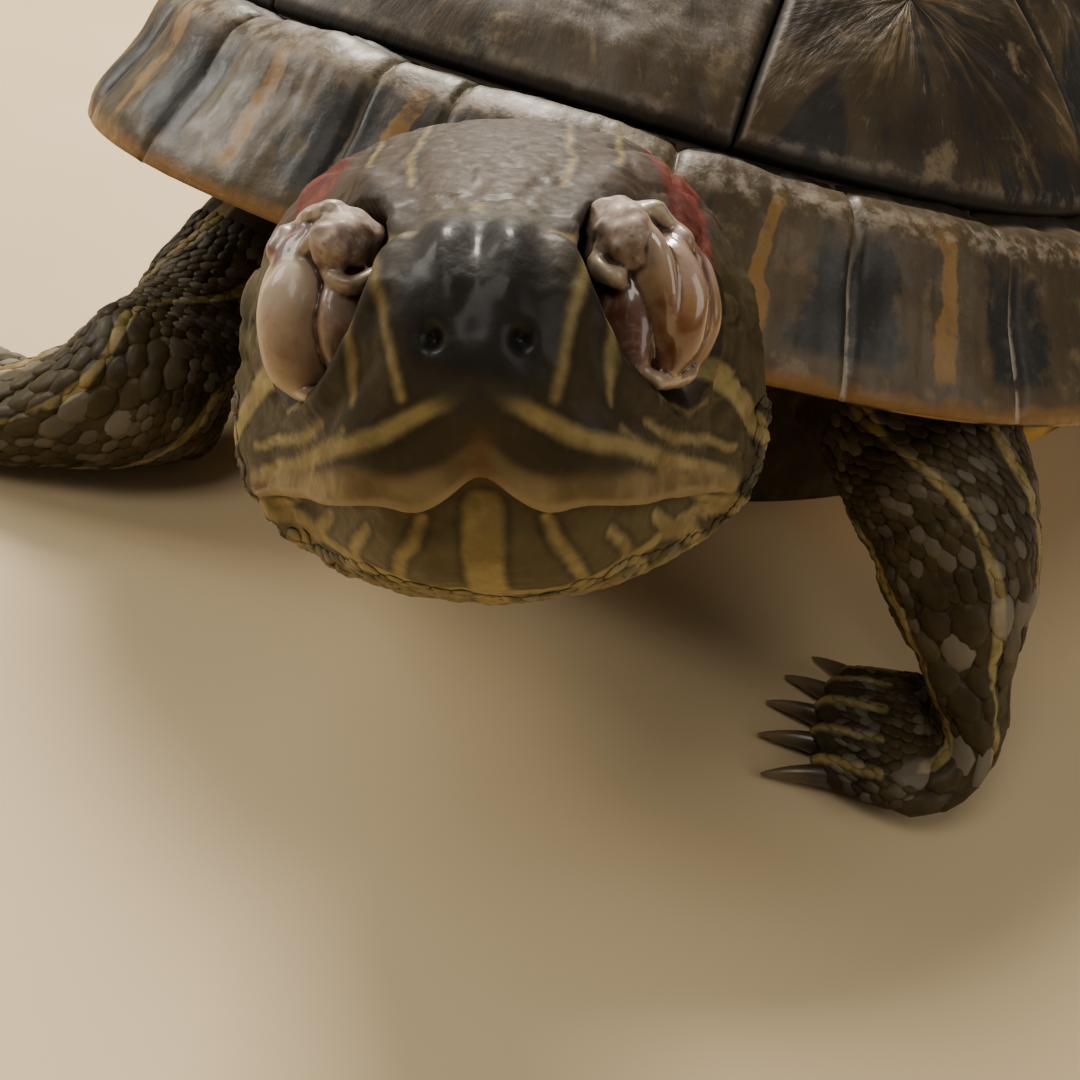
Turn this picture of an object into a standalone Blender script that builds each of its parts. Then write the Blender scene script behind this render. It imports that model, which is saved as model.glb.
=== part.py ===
"""Red-eared slider turtle, life size, standing with its head raised and turned to its left."""
import math

import bpy
import bmesh
from mathutils import Vector

# Driving sizes, with lengths in millimetres and angles in degrees. The turtle faces -Y and its left is +X.
MM = 0.001
GAP = 0.3                   # clearance between neighbouring solids
SLIVER = 0.06               # edges shorter than this are merged after a cut

SHELL_LENGTH = 216.0
SHELL_WIDTH = 162.0
SHELL_TOP = 90.0
RIM_FRONT = 45.0            # height of the shell's edge above the floor
RIM_SIDE = 34.0
RIM_REAR = 34.0
RIM_POWER = 2.3             # superellipse power of the shell's outline
MARGIN_RUN = 14.0           # width of the band of edge plates, seen from above
MARGIN_RISE_FRONT = 12.0
MARGIN_RISE_SIDE = 13.0
MARGIN_RISE_REAR = 8.0
DOME_POWER = 2.2
SHELL_WALL = 4.5
AROUND = 48                 # points round the shell

PLASTRON_FLOOR = 8.0        # clearance under the belly plate
PLASTRON_WALL = 4.0
PLASTRON_FRONT = -89.0
PLASTRON_REAR = 92.0
PLASTRON_LIFT = 4.5         # how far the front lip turns up
BRIDGE_FRONT = -46.0
BRIDGE_REAR = 40.0

HEAD_YAW = 23.5             # to the turtle's left
HEAD_PITCH = 22.7
HEAD_ROLL = 10.8
HEAD_CENTRE = Vector((27.1, -127.1, 51.0))


def smooth(a, b, x):
    t = min(max((x - a) / (b - a), 0.0), 1.0)
    return t * t * (3 - 2 * t)


def signed_power(v, p):
    return math.copysign(abs(v) ** p, v)


def spline(keys, x):
    """Smooth curve through (x, value) pairs."""
    if x <= keys[0][0]:
        return keys[0][1]
    for i in range(len(keys) - 1):
        if x <= keys[i + 1][0]:
            break
    else:
        return keys[-1][1]
    x0, y0 = keys[i]
    x1, y1 = keys[i + 1]
    xa, ya = keys[max(i - 1, 0)]
    xb, yb = keys[min(i + 2, len(keys) - 1)]
    m0 = (y1 - ya) / (x1 - xa)
    m1 = (yb - y0) / (xb - x0)
    t = (x - x0) / (x1 - x0)
    h = x1 - x0
    return ((2 * t**3 - 3 * t**2 + 1) * y0 + (t**3 - 2 * t**2 + t) * h * m0
            + (3 * t**2 - 2 * t**3) * y1 + (t**3 - t**2) * h * m1)


# ---------------------------------------------------------------- scene and mesh helpers

def clear_scene():
    for obj in list(bpy.data.objects):
        bpy.data.objects.remove(obj)


def material(name, colour, roughness):
    mat = bpy.data.materials.new(name)
    mat.use_nodes = True
    shader = mat.node_tree.nodes["Principled BSDF"]
    shader.inputs["Base Color"].default_value = (*colour, 1.0)
    shader.inputs["Roughness"].default_value = roughness
    shader.inputs["Metallic"].default_value = 0.0
    return mat


def add_object(name, bm, mat):
    bmesh.ops.triangulate(bm, faces=bm.faces, quad_method="FIXED")
    bmesh.ops.recalc_face_normals(bm, faces=bm.faces)
    mesh = bpy.data.meshes.new(name)
    bm.to_mesh(mesh)
    bm.free()
    mesh.materials.append(mat)
    mesh.shade_smooth()
    mesh.set_sharp_from_angle(angle=math.radians(38))
    obj = bpy.data.objects.new(name, mesh)
    bpy.context.scene.collection.objects.link(obj)
    return obj


def loft(rings):
    """Closed mesh through equal rings of points, each end closed by a fan."""
    bm = bmesh.new()
    rows = [[bm.verts.new(p * MM) for p in ring] for ring in rings]
    count = len(rows[0])
    for low, high in zip(rows, rows[1:]):
        for i in range(count):
            j = (i + 1) % count
            bm.faces.new((low[i], low[j], high[j], high[i]))
    for row, flip in ((rows[0], True), (rows[-1], False)):
        hub = bm.verts.new(sum((v.co for v in row), Vector()) / count)
        for i in range(count):
            j = (i + 1) % count
            bm.faces.new((row[j], row[i], hub) if flip else (row[i], row[j], hub))
    return bm


def tidy_cut(mesh):
    """Keep the main body that a cut leaves, without crumbs beside it or slivers in it."""
    bm = bmesh.new()
    bm.from_mesh(mesh)
    unseen = set(bm.verts)
    islands = []
    while unseen:
        stack = [unseen.pop()]
        island = list(stack)
        while stack:
            for edge in stack.pop().link_edges:
                for vert in edge.verts:
                    if vert in unseen:
                        unseen.remove(vert)
                        stack.append(vert)
                        island.append(vert)
        islands.append(island)
    islands.sort(key=len)
    for island in islands[:-1]:
        bmesh.ops.delete(bm, geom=island, context="VERTS")
    bmesh.ops.remove_doubles(bm, verts=bm.verts, dist=SLIVER * MM)
    bmesh.ops.triangulate(bm, faces=bm.faces)
    bmesh.ops.dissolve_degenerate(bm, edges=bm.edges, dist=SLIVER * MM)
    bmesh.ops.triangulate(bm, faces=bm.faces)
    bm.to_mesh(mesh)
    bm.free()


def boolean(obj, other, operation):
    """Apply an exact boolean and drop the second object."""
    mod = obj.modifiers.new("cut", "BOOLEAN")
    mod.operation = operation
    mod.solver = "EXACT"
    mod.object = other
    graph = bpy.context.evaluated_depsgraph_get()
    mesh = bpy.data.meshes.new_from_object(obj.evaluated_get(graph), depsgraph=graph)
    obj.modifiers.clear()
    obj.data = mesh
    bpy.data.objects.remove(other)
    tidy_cut(mesh)
    mesh.shade_smooth()
    mesh.set_sharp_from_angle(angle=math.radians(38))
    return obj


def catmull(points, t):
    """Point on the smooth curve through tuples, t from 0 to len - 1."""
    last = len(points) - 1
    i = min(int(t), last - 1)
    u = t - i
    p0, p1, p2, p3 = (points[min(max(k, 0), last)] for k in (i - 1, i, i + 1, i + 2))
    return [0.5 * (2 * b + (c - a) * u + (2 * a - 5 * b + 4 * c - d) * u * u
                   + (3 * b - a - 3 * c + d) * u**3) for a, b, c, d in zip(p0, p1, p2, p3)]


def oval(centre, side, up, half_wide, half_thick, count, power=2.0):
    ring = []
    for k in range(count):
        a = 2 * math.pi * k / count
        ring.append(centre + side * half_wide * signed_power(math.cos(a), 2 / power)
                    + up * half_thick * signed_power(math.sin(a), 2 / power))
    return ring


def tube_rings(stations, steps, count, grow=0.0, level=None, power=2.2, reach=0.05):
    """Rings along the smooth path through (x, y, z, half_wide, half_thick) stations, one for each step.

    The side direction is carried along the path, and turns level, across the path's end, between the two
    stations of level. A longer reach lets the rings turn sooner before a bend, so that they don't cross."""
    last = len(stations) - 1
    side = None
    run = Vector(stations[-1][:3]) - Vector(stations[-3][:3])
    goal = Vector((-run.y, run.x, 0)).normalized()
    out = []
    for t in steps:
        x, y, z, wide, thick = catmull(stations, t)
        ahead = Vector(catmull(stations, min(t + reach, last))[:3])
        behind = Vector(catmull(stations, max(t - reach, 0))[:3])
        along = (ahead - behind).normalized()
        side = side or Vector((0, 0, 1)).cross(along)
        if level:
            goal = goal if goal.dot(side) > 0 else -goal
            side = side.lerp(goal, smooth(*level, t))
        side = (side - along * side.dot(along)).normalized()
        up = along.cross(side)
        out.append(oval(Vector((x, y, z)), side, up, wide + grow, thick + grow, count, power))
    return out


def steps_between(start, stop, each=0.5):
    count = round((stop - start) / each)
    return [start + (stop - start) * k / count for k in range(count + 1)]


def rest_on_floor(rings, level=0.0):
    return [[Vector((p.x, p.y, max(p.z, level))) for p in ring] for ring in rings]


# ---------------------------------------------------------------- shell

def outline(theta):
    """Plan of the shell's edge; theta is 0 at the front and grows to the turtle's left."""
    x = SHELL_WIDTH / 2 * signed_power(math.sin(theta), 2 / RIM_POWER)
    y = -SHELL_LENGTH / 2 * signed_power(math.cos(theta), 2 / RIM_POWER)
    widen = 1.0 + 0.035 * (y / SHELL_LENGTH * 2)
    return x * widen, y


def around(theta, front, side, rear):
    """Blend a value round the shell."""
    c = math.cos(theta)
    return side + (front - side) * max(c, 0) ** 2 + (rear - side) * max(-c, 0) ** 2


def rim_height(theta):
    return around(theta, RIM_FRONT, RIM_SIDE, RIM_REAR)


def seam_fraction(theta):
    x, y = outline(theta)
    return 1 - MARGIN_RUN / math.hypot(x, y)


def dome_height(theta, s):
    """Height of the shell's outer face at fraction s of the way out to the edge."""
    rise = around(theta, MARGIN_RISE_FRONT, MARGIN_RISE_SIDE, MARGIN_RISE_REAR)
    seam = seam_fraction(theta)
    low = rim_height(theta)
    if s >= seam:
        return low + rise * (1 - s) / (1 - seam)
    return low + rise + (SHELL_TOP - low - rise) * (1 - (s / seam) ** DOME_POWER)


def rear_teeth(theta):
    """Shallow notches in the rear edge."""
    back = smooth(0.55, 0.9, -math.cos(theta))
    return 1 - 0.018 * back * (0.5 + 0.5 * math.cos(24 * theta))


def shell_point(theta, s, height):
    x, y = outline(theta)
    k = s * rear_teeth(theta) if s > 0.97 else s
    return Vector((x * k, y * k, height))


def under_height(theta, s):
    """Height of the shell's inner face."""
    return dome_height(theta, s) - SHELL_WALL


def build_carapace(mat):
    bm = bmesh.new()
    angles = [2 * math.pi * k / AROUND for k in range(AROUND)]
    seam_step = 0.014
    outer = [0.12, 0.28, 0.44, 0.58, 0.70, 0.80]
    inner = [0.86, 0.74, 0.56, 0.36, 0.18]
    rows = []
    for s in outer:
        rows.append([shell_point(a, s * seam_fraction(a), dome_height(a, s * seam_fraction(a)))
                     for a in angles])
    for offset, sink in ((-2.2 * seam_step, 0.0), (0.0, 1.1), (seam_step, 0.0)):
        rows.append([shell_point(a, seam_fraction(a) + offset,
                                 dome_height(a, seam_fraction(a) + offset) - sink) for a in angles])
    rows.append([shell_point(a, 0.955, dome_height(a, 0.955) + 0.6) for a in angles])
    rows.append([shell_point(a, 1.0, rim_height(a)) for a in angles])
    rows.append([shell_point(a, 0.978, rim_height(a) - around(a, 0.6, 1.8, 1.2)) for a in angles])
    for s in inner:
        rows.append([shell_point(a, s, under_height(a, s)) for a in angles])
    rows = [[bm.verts.new(p * MM) for p in row] for row in rows]
    for low, high in zip(rows, rows[1:]):
        for i in range(AROUND):
            j = (i + 1) % AROUND
            bm.faces.new((low[i], low[j], high[j], high[i]))
    crown = bm.verts.new(Vector((0, 0, SHELL_TOP)) * MM)
    ceiling = bm.verts.new(Vector((0, 0, SHELL_TOP - SHELL_WALL)) * MM)
    for row, hub in ((rows[0], crown), (rows[-1], ceiling)):
        for i in range(AROUND):
            bm.faces.new((row[i], row[(i + 1) % AROUND], hub))
    return add_object("carapace", bm, mat)


LOBE_WIDTH = [(-89, 12), (-86, 21), (-78, 28), (-64, 33), (-46, 37), (-20, 38), (20, 38), (44, 38),
              (62, 37), (78, 32), (88, 22), (92, 9)]


def bridge_share(y):
    """1 along the bridge between belly and shell, 0 under the lobes."""
    front = smooth(BRIDGE_FRONT - 7, BRIDGE_FRONT + 7, y)
    return front * (1 - smooth(BRIDGE_REAR - 7, BRIDGE_REAR + 7, y))


def belly_height(x, y):
    """Height of the belly plate's lower face."""
    lift = PLASTRON_LIFT * smooth(-60, PLASTRON_FRONT, y) + 2.0 * smooth(60, PLASTRON_REAR, y)
    wing = smooth(36, 74, abs(x)) * 21.0 * bridge_share(y)
    return PLASTRON_FLOOR + lift + wing


def build_plastron(name, mat, grow=0.0):
    """Belly plate with its two bridges up to the shell's underside."""
    bridge_reach = 69.5 + grow
    stations = 26
    across = 10
    rows_low, rows_high = [], []
    for i in range(stations + 1):
        t = i / stations
        y = PLASTRON_FRONT + (PLASTRON_REAR - PLASTRON_FRONT) * t
        half = spline(LOBE_WIDTH, y)
        half += (bridge_reach - half) * bridge_share(y)
        low, high = [], []
        for j in range(across + 1):
            x = half * (2 * j / across - 1)
            edge = 1.2 * smooth(0.75, 1.0, abs(2 * j / across - 1)) * (1 - bridge_share(y))
            z = belly_height(x, y)
            low.append(Vector((x, y, z + edge - grow)))
            high.append(Vector((x, y, z + PLASTRON_WALL + grow)))
        rows_low.append(low)
        rows_high.append(high)
    bm = bmesh.new()
    lows = [[bm.verts.new(p * MM) for p in row] for row in rows_low]
    highs = [[bm.verts.new(p * MM) for p in row] for row in rows_high]
    for grid in (lows, highs):
        for a, b in zip(grid, grid[1:]):
            for j in range(across):
                bm.faces.new((a[j], a[j + 1], b[j + 1], b[j]))
    for a, b in ((lows[0], highs[0]), (lows[-1], highs[-1])):
        for j in range(across):
            bm.faces.new((a[j], a[j + 1], b[j + 1], b[j]))
    for j in (0, across):
        for i in range(stations):
            bm.faces.new((lows[i][j], lows[i + 1][j], highs[i + 1][j], highs[i][j]))
    return add_object(name, bm, mat)


# ---------------------------------------------------------------- trunk

TRUNK_REACH = 0.80          # how far out the flesh fills the shell


def build_trunk(mat):
    bm = bmesh.new()
    count = 36
    angles = [2 * math.pi * k / count for k in range(count)]
    rows = []
    for s in (0.25, 0.5, 0.68, TRUNK_REACH):
        rows.append([shell_point(a, s, under_height(a, s) - GAP - 0.5) for a in angles])
    for s, share in ((TRUNK_REACH + 0.012, 0.6), (0.77, 0.0), (0.68, 0.0), (0.56, 0.0), (0.3, 0.0)):
        row = []
        for a in angles:
            x, y = outline(a)
            x, y = x * s, y * s
            floor = belly_height(x, y) + PLASTRON_WALL + GAP
            if s > 0.7:
                floor = max(floor, 14.0)
            top = under_height(a, TRUNK_REACH) - GAP - 0.5
            row.append(Vector((x, y, floor + (top - floor) * share)))
        rows.append(row)
    rows = [[bm.verts.new(p * MM) for p in row] for row in rows]
    for low, high in zip(rows, rows[1:]):
        for i in range(count):
            j = (i + 1) % count
            bm.faces.new((low[i], low[j], high[j], high[i]))
    for row in (rows[0], rows[-1]):
        hub = bm.verts.new(sum((v.co for v in row), Vector()) / count)
        for i in range(count):
            bm.faces.new((row[i], row[(i + 1) % count], hub))
    return add_object("trunk", bm, mat)


# ---------------------------------------------------------------- head and neck

def head_axes():
    """Left, forward and up of the head in world axes."""
    yaw, pitch, roll = (math.radians(v) for v in (HEAD_YAW, HEAD_PITCH, HEAD_ROLL))
    flat = math.cos(pitch)
    forward = Vector((math.sin(yaw) * flat, -math.cos(yaw) * flat, math.sin(pitch)))
    level = Vector((math.cos(yaw), math.sin(yaw), 0))
    up = level.cross(forward) * -1
    left = level * math.cos(roll) + up * math.sin(roll)
    return left, forward, left.cross(forward) * -1


# Head profile along its own axis: distance forward of the widest section, then half width, top or bottom.
HEAD_HALF = [(-11, 12.6), (-6, 15.4), (0, 16.8), (4, 16.2), (9, 13.9), (13, 11.4), (17, 9.4), (21, 7.7),
             (24, 5.9), (25.6, 3.9), (26.4, 1.6)]
HEAD_TOP = [(-11, 13.6), (-6, 14.9), (0, 14.6), (8, 12.6), (14, 10.6), (19, 8.4), (23, 6.3), (25.6, 4.2),
            (26.4, 2.0)]
HEAD_LOW = [(-11, -12.2), (-6, -13.8), (0, -14.6), (6, -14.3), (13, -12.9), (19, -10.6), (22.5, -8.2),
            (24.4, -5.2), (25.6, -2.4), (26.4, -0.6)]
HEAD_STEPS = [-11, -8, -5, -2, 1, 4, 7, 9.5, 12, 14.5, 17, 19, 21, 22.6, 24, 25, 25.8, 26.4]
HEAD_AROUND = 30
EYE_AT = (8.1, 15.4, 3.2)   # left, forward, up
EYE_SIZE = (3.5, 4.8, 5.3)
EYE_SPLAY = 34.0            # how far the lid's long face turns to the side
JAW_CORNER = 7.0            # the mouth's corner, forward of the widest section
MOUTH_FRONT = -4.9
MOUTH_REAR = -6.6


def to_world(left, forward, up):
    a, b, c = head_axes()
    return HEAD_CENTRE + a * left + b * forward + c * up


def head_ring(f, grow=0.0):
    half = spline(HEAD_HALF, f) + grow
    top = spline(HEAD_TOP, f) + grow
    low = spline(HEAD_LOW, f) - grow
    middle = (top + low) / 2 - 0.12 * (top - low)
    ring = []
    for k in range(HEAD_AROUND):
        a = 2 * math.pi * k / HEAD_AROUND
        x = half * signed_power(math.cos(a), 0.84)
        s = signed_power(math.sin(a), 0.84)
        z = middle + s * ((top - middle) if s > 0 else (middle - low))
        ring.append(to_world(x, f, z))
    return ring


def jaw_block(grow):
    """Wedge that parts the lower jaw from the head along the mouth's line."""
    rows = []
    for f, z in ((JAW_CORNER - grow, MOUTH_REAR + grow), (17, -5.4 + grow), (22, -4.9 + grow),
                 (30, MOUTH_FRONT + grow)):
        rows.append([to_world(x, f, z + dz) for x, dz in ((-24, 0), (24, 0), (24, -30), (-24, -30))])
    return loft(rows)


def eye_rings(side, grow=0.0):
    """Swollen, closed eye: an egg set on the side of the face."""
    a, b, c = head_axes()
    turn = math.radians(EYE_SPLAY) * side
    out = (a * side * math.cos(turn) + b * abs(math.sin(turn))).normalized()
    along = out.cross(c).normalized()
    centre = to_world(EYE_AT[0] * side, EYE_AT[1], EYE_AT[2])
    rings = []
    for k in range(8):
        t = math.pi * (k + 0.5) / 8
        r = math.sin(t)
        lean = out * (0.9 * math.cos(t) * -1)
        rings.append(oval(centre + c * (EYE_SIZE[2] + grow) * math.cos(t) + lean, out, along,
                          (EYE_SIZE[0] + grow) * r, (EYE_SIZE[1] + grow) * r, 14))
    return rings


NECK_PATH = [(-1, -62, 30, 16, 12), (3, -84, 28.5, 15, 11), (9, -100, 28.3, 13.5, 10.4),
             (17.5, -111.5, 34, 12.2, 10.2)]


def neck_rings(grow=0.0):
    rings = tube_rings(NECK_PATH, steps_between(0, 3), HEAD_AROUND, grow)
    return rings + [head_ring(-11 - GAP, grow)]


# ---------------------------------------------------------------- limbs
# Each path holds (x, y, z, half_wide, half_thick) stations from inside the body to the toes. The foot is
# its own solid from station WRIST onwards.

WRIST = 4
LEVEL = (1.5, 4.0)          # stations over which a limb turns flat to the floor
FORELEG_LEFT = [(38, -48, 30, 12, 10.5), (46, -63, 31.5, 11.5, 9.5), (54, -74, 30, 10.5, 9),
                (61.5, -79.5, 21, 10.5, 8), (66, -83, 13, 8.8, 4.7), (68, -85, 7, 8.4, 3.8),
                (64, -86.2, 4.3, 11, 3.9), (56, -86.5, 2.4, 10.5, 3)]
FORELEG_RIGHT = [(-34, -48, 28.5, 11.5, 10), (-37, -64, 26.5, 10.8, 9.2), (-40.5, -79.5, 16.5, 9.6, 8.6),
                 (-36.5, -95, 10.8, 12.5, 10.4), (-47, -102.5, 6.6, 10.5, 6.4), (-57, -105, 4.8, 11, 5),
                 (-65, -105, 3.4, 12, 4.2), (-71, -104.5, 2.4, 11, 3)]
HINDLEG_LEFT = [(36, 46, 26, 13, 11), (49, 58, 24.5, 13, 10.5), (64, 69, 20.5, 12.5, 10.5),
                (74, 79, 13, 11, 9), (77, 88, 8, 9.5, 7), (80, 96, 5, 11.5, 5.4),
                (84, 104, 3.4, 13.5, 4.2), (88, 110, 2.4, 12.5, 2.9)]
HINDLEG_RIGHT = [(-36, 46, 26, 13, 11), (-50, 55, 24.5, 13, 10.5), (-66, 61, 20.5, 12.5, 10.5),
                 (-79, 67, 13, 11, 9), (-85, 74, 8, 9.5, 7), (-90, 81, 5, 11.5, 5.4),
                 (-96, 88, 3.4, 13.5, 4.2), (-101, 93.5, 2.4, 12.5, 2.9)]
TAIL_PATH = [(0, 66, 23, 10, 7), (1, 84, 22.5, 8.5, 6.6), (5, 102, 18, 6.2, 5.4),
             (13, 118, 11, 3.8, 3.6), (24, 131, 6, 1.3, 1.3)]
LIMB_AROUND = 14
TURN = 1.2
FORE_CLAW = 9.0
HIND_CLAW = 6.5
CLAW_BASE = 1.5
CLAW_TIP = 0.4


def claw(base, aim, length):
    """Curved, tapering claw that dips towards its tip."""
    stations = []
    for t in (0, 0.5, 1):
        p = base + aim * (length * t) + Vector((0, 0, -1.0 * t * t))
        r = CLAW_BASE + (CLAW_TIP - CLAW_BASE) * t
        stations.append((p.x, p.y, max(p.z, CLAW_TIP + 0.25), r, r))
    return loft(tube_rings(stations, (0, 1, 2), 6))


def build_limb(name, path, mat):
    """The part of a limb above its wrist, or a whole tail."""
    steps = steps_between(0, min(WRIST, len(path) - 1))
    rings = tube_rings(path, steps, LIMB_AROUND, level=LEVEL, reach=TURN)
    return add_object(name, loft(rest_on_floor(rings)), mat)


def cut_socket(trunk, path, mat):
    """Room in the trunk for a limb's root."""
    rings = tube_rings(path, steps_between(0, 2), LIMB_AROUND, GAP, LEVEL, reach=TURN)
    boolean(trunk, add_object("socket", loft(rings), mat), "DIFFERENCE")


def build_foot(name, path, claw_length, mat):
    """Webbed foot with five claws, flat underneath."""
    last = len(path) - 1
    rings = tube_rings(path, steps_between(0, last), LIMB_AROUND, level=LEVEL, reach=TURN)[2 * WRIST:]
    ahead = Vector(catmull(path, WRIST + TURN)[:3]) - Vector(catmull(path, WRIST - TURN)[:3])
    rings[0] = [p + ahead.normalized() * 1.3 * GAP for p in rings[0]]
    leg = tube_rings(path, steps_between(0, WRIST), LIMB_AROUND, GAP, LEVEL, reach=TURN)
    leg.append([p + ahead.normalized() * GAP for p in leg[-1]])
    foot = add_object(name, loft(rest_on_floor(rings)), mat)
    end = Vector(path[-1][:3])
    along = end - Vector(path[-2][:3])
    along.z = 0
    along.normalize()
    side = along.cross(Vector((0, 0, 1)))
    for k in range(5):
        u = (k - 2) / 2
        aim = (along + side * 0.42 * u).normalized()
        base = end + side * path[-1][3] * 0.80 * u - along * (1.5 + 2.6 * u * u)
        base.z = 2.0
        boolean(foot, add_object("claw", claw(base, aim, claw_length), mat), "UNION")
    boolean(foot, add_object("leg_room", loft(leg), mat), "DIFFERENCE")


def centre_on_floor():
    """Move everything so that the origin is the middle of the whole animal's box, at the floor."""
    points = [v.co for obj in bpy.data.objects for v in obj.data.vertices]
    low = Vector([min(p[i] for p in points) for i in range(3)])
    high = Vector([max(p[i] for p in points) for i in range(3)])
    middle = (low + high) / 2
    for obj in bpy.data.objects:
        for vert in obj.data.vertices:
            vert.co -= Vector((middle.x, middle.y, low.z))


def main():
    clear_scene()
    shell = material("shell", (0.16, 0.13, 0.07), 0.35)
    belly = material("belly_plate", (0.62, 0.44, 0.14), 0.45)
    skin = material("skin", (0.11, 0.12, 0.07), 0.55)
    lids = material("swollen_lids", (0.42, 0.27, 0.19), 0.3)

    build_carapace(shell)
    build_plastron("plastron", belly)
    trunk = build_trunk(skin)
    boolean(trunk, build_plastron("room", belly, 3 * GAP), "DIFFERENCE")

    head = add_object("head", loft([head_ring(f) for f in HEAD_STEPS]), skin)
    jaw = add_object("lower_jaw", loft([head_ring(f) for f in HEAD_STEPS]), skin)
    boolean(jaw, add_object("wedge", jaw_block(0.0), skin), "INTERSECT")
    for side, word in ((1, "left"), (-1, "right")):
        boolean(head, add_object("socket", loft(eye_rings(side, GAP)), skin), "DIFFERENCE")
        add_object("eye_" + word, loft(eye_rings(side)), lids)
    boolean(head, add_object("wedge", jaw_block(GAP), skin), "DIFFERENCE")

    add_object("neck", loft(neck_rings()), skin)
    boolean(trunk, add_object("socket", loft(neck_rings(GAP)), skin), "DIFFERENCE")

    limbs = (("foreleg_left", "hand_left", FORELEG_LEFT, FORE_CLAW),
             ("foreleg_right", "hand_right", FORELEG_RIGHT, FORE_CLAW),
             ("hindleg_left", "foot_left", HINDLEG_LEFT, HIND_CLAW),
             ("hindleg_right", "foot_right", HINDLEG_RIGHT, HIND_CLAW))
    for leg_name, foot_name, path, claw_length in limbs:
        build_limb(leg_name, path, skin)
        build_foot(foot_name, path, claw_length, skin)
        cut_socket(trunk, path, skin)
    build_limb("tail", TAIL_PATH, skin)
    cut_socket(trunk, TAIL_PATH, skin)
    centre_on_floor()


main()
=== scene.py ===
import math
from itertools import product
import bpy
import numpy as np
from mathutils import Matrix, Vector
from mathutils.kdtree import KDTree


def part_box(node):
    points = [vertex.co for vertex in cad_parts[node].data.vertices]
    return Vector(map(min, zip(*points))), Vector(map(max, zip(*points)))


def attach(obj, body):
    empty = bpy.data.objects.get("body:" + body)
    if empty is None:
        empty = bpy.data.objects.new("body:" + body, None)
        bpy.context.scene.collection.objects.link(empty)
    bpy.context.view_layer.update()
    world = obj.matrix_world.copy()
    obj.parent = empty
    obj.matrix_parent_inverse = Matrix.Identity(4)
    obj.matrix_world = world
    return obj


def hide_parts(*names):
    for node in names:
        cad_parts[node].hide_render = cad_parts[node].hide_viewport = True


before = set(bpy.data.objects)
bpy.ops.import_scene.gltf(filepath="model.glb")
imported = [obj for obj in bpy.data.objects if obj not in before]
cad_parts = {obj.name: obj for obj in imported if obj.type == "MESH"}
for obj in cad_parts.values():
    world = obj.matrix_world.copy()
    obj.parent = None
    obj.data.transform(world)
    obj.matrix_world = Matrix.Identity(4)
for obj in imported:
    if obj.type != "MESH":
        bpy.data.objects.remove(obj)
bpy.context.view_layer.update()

# Red-eared slider turtle, life size. Lengths are in millimetres and become metres in newPiece.
# The turtle faces -Y and its left is +X.
mm = 0.001
shellLow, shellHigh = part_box("carapace")
# the middle of the shell's plan, which the shell, trunk and limbs are measured from
shellMid = np.array([(shellLow[0] + shellHigh[0]) / 2 / mm, shellLow[1] / mm + 108.0, 0.0])


# small maths on arrays

def smooth(a, b, x):
    t = np.clip((np.asarray(x, float) - a) / (b - a), 0, 1)
    return t * t * (3 - 2 * t)


def hump(x, width):
    return np.exp(-(np.asarray(x, float) / width) ** 2)


def signedPower(v, p):
    return np.sign(v) * np.abs(v) ** p


def spline(keys, x):
    # smooth curve through (x, value) pairs
    kx = np.array([k[0] for k in keys], float)
    ky = np.array([k[1] for k in keys], float)
    slope = np.empty_like(ky)
    slope[1:-1] = (ky[2:] - ky[:-2]) / (kx[2:] - kx[:-2])
    slope[0] = (ky[1] - ky[0]) / (kx[1] - kx[0])
    slope[-1] = (ky[-1] - ky[-2]) / (kx[-1] - kx[-2])
    x = np.clip(np.asarray(x, float), kx[0], kx[-1])
    i = np.clip(np.searchsorted(kx, x) - 1, 0, len(kx) - 2)
    h = kx[i + 1] - kx[i]
    t = (x - kx[i]) / h
    return ((2 * t**3 - 3 * t**2 + 1) * ky[i] + (t**3 - 2 * t**2 + t) * h * slope[i]
            + (3 * t**2 - 2 * t**3) * ky[i + 1] + (t**3 - t**2) * h * slope[i + 1])


def chance(i, j, k, seed):
    # repeatable number from 0 to 1 for each whole-number place: large odd factors scatter the places
    n = (i.astype(np.int64) * 73856093) ^ (j.astype(np.int64) * 19349663) ^ (k.astype(np.int64) * 83492791)
    n = (n + seed * 974634777) & 0x7fffffff
    for shift, factor in ((13, 1274126177), (16, 668265263)):
        n = ((n ^ (n >> shift)) * factor) & 0x7fffffff
    return ((n ^ (n >> 11)) & 0xffff) / 65535.0


def clouds(p, size, seed=0):
    # soft noise from -1 to 1
    q = p / size
    base = np.floor(q).astype(np.int64)
    t = q - base
    t = t * t * (3 - 2 * t)
    total = 0
    for a, b, c in product((0, 1), repeat=3):
        w = (np.where(a, t[..., 0], 1 - t[..., 0]) * np.where(b, t[..., 1], 1 - t[..., 1])
             * np.where(c, t[..., 2], 1 - t[..., 2]))
        total = total + w * chance(base[..., 0] + a, base[..., 1] + b, base[..., 2] + c, seed)
    return total * 2 - 1


def roughClouds(p, size, octaves=3, seed=0):
    return sum(clouds(p, size / 2**k, seed + 17 * k) / 2**k for k in range(octaves))


def pebbles(p, size, seed=0):
    # distance from the cracks between rounded pebbles, 0 at a crack and about 1 in a pebble
    q = p / size
    base = np.floor(q).astype(np.int64)
    first = np.full(q.shape[:-1], 9.0)
    second = np.full(q.shape[:-1], 9.0)
    for a, b, c in product((-1, 0, 1), repeat=3):
        i, j, k = base[..., 0] + a, base[..., 1] + b, base[..., 2] + c
        spot = np.stack([i + chance(i, j, k, seed), j + chance(i, j, k, seed + 1),
                         k + chance(i, j, k, seed + 2)], -1)
        d = np.sqrt(((q - spot) ** 2).sum(-1))
        second = np.minimum(second, np.maximum(first, d))
        first = np.minimum(first, d)
    return np.clip((second - first) * 1.6, 0, 1)


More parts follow.
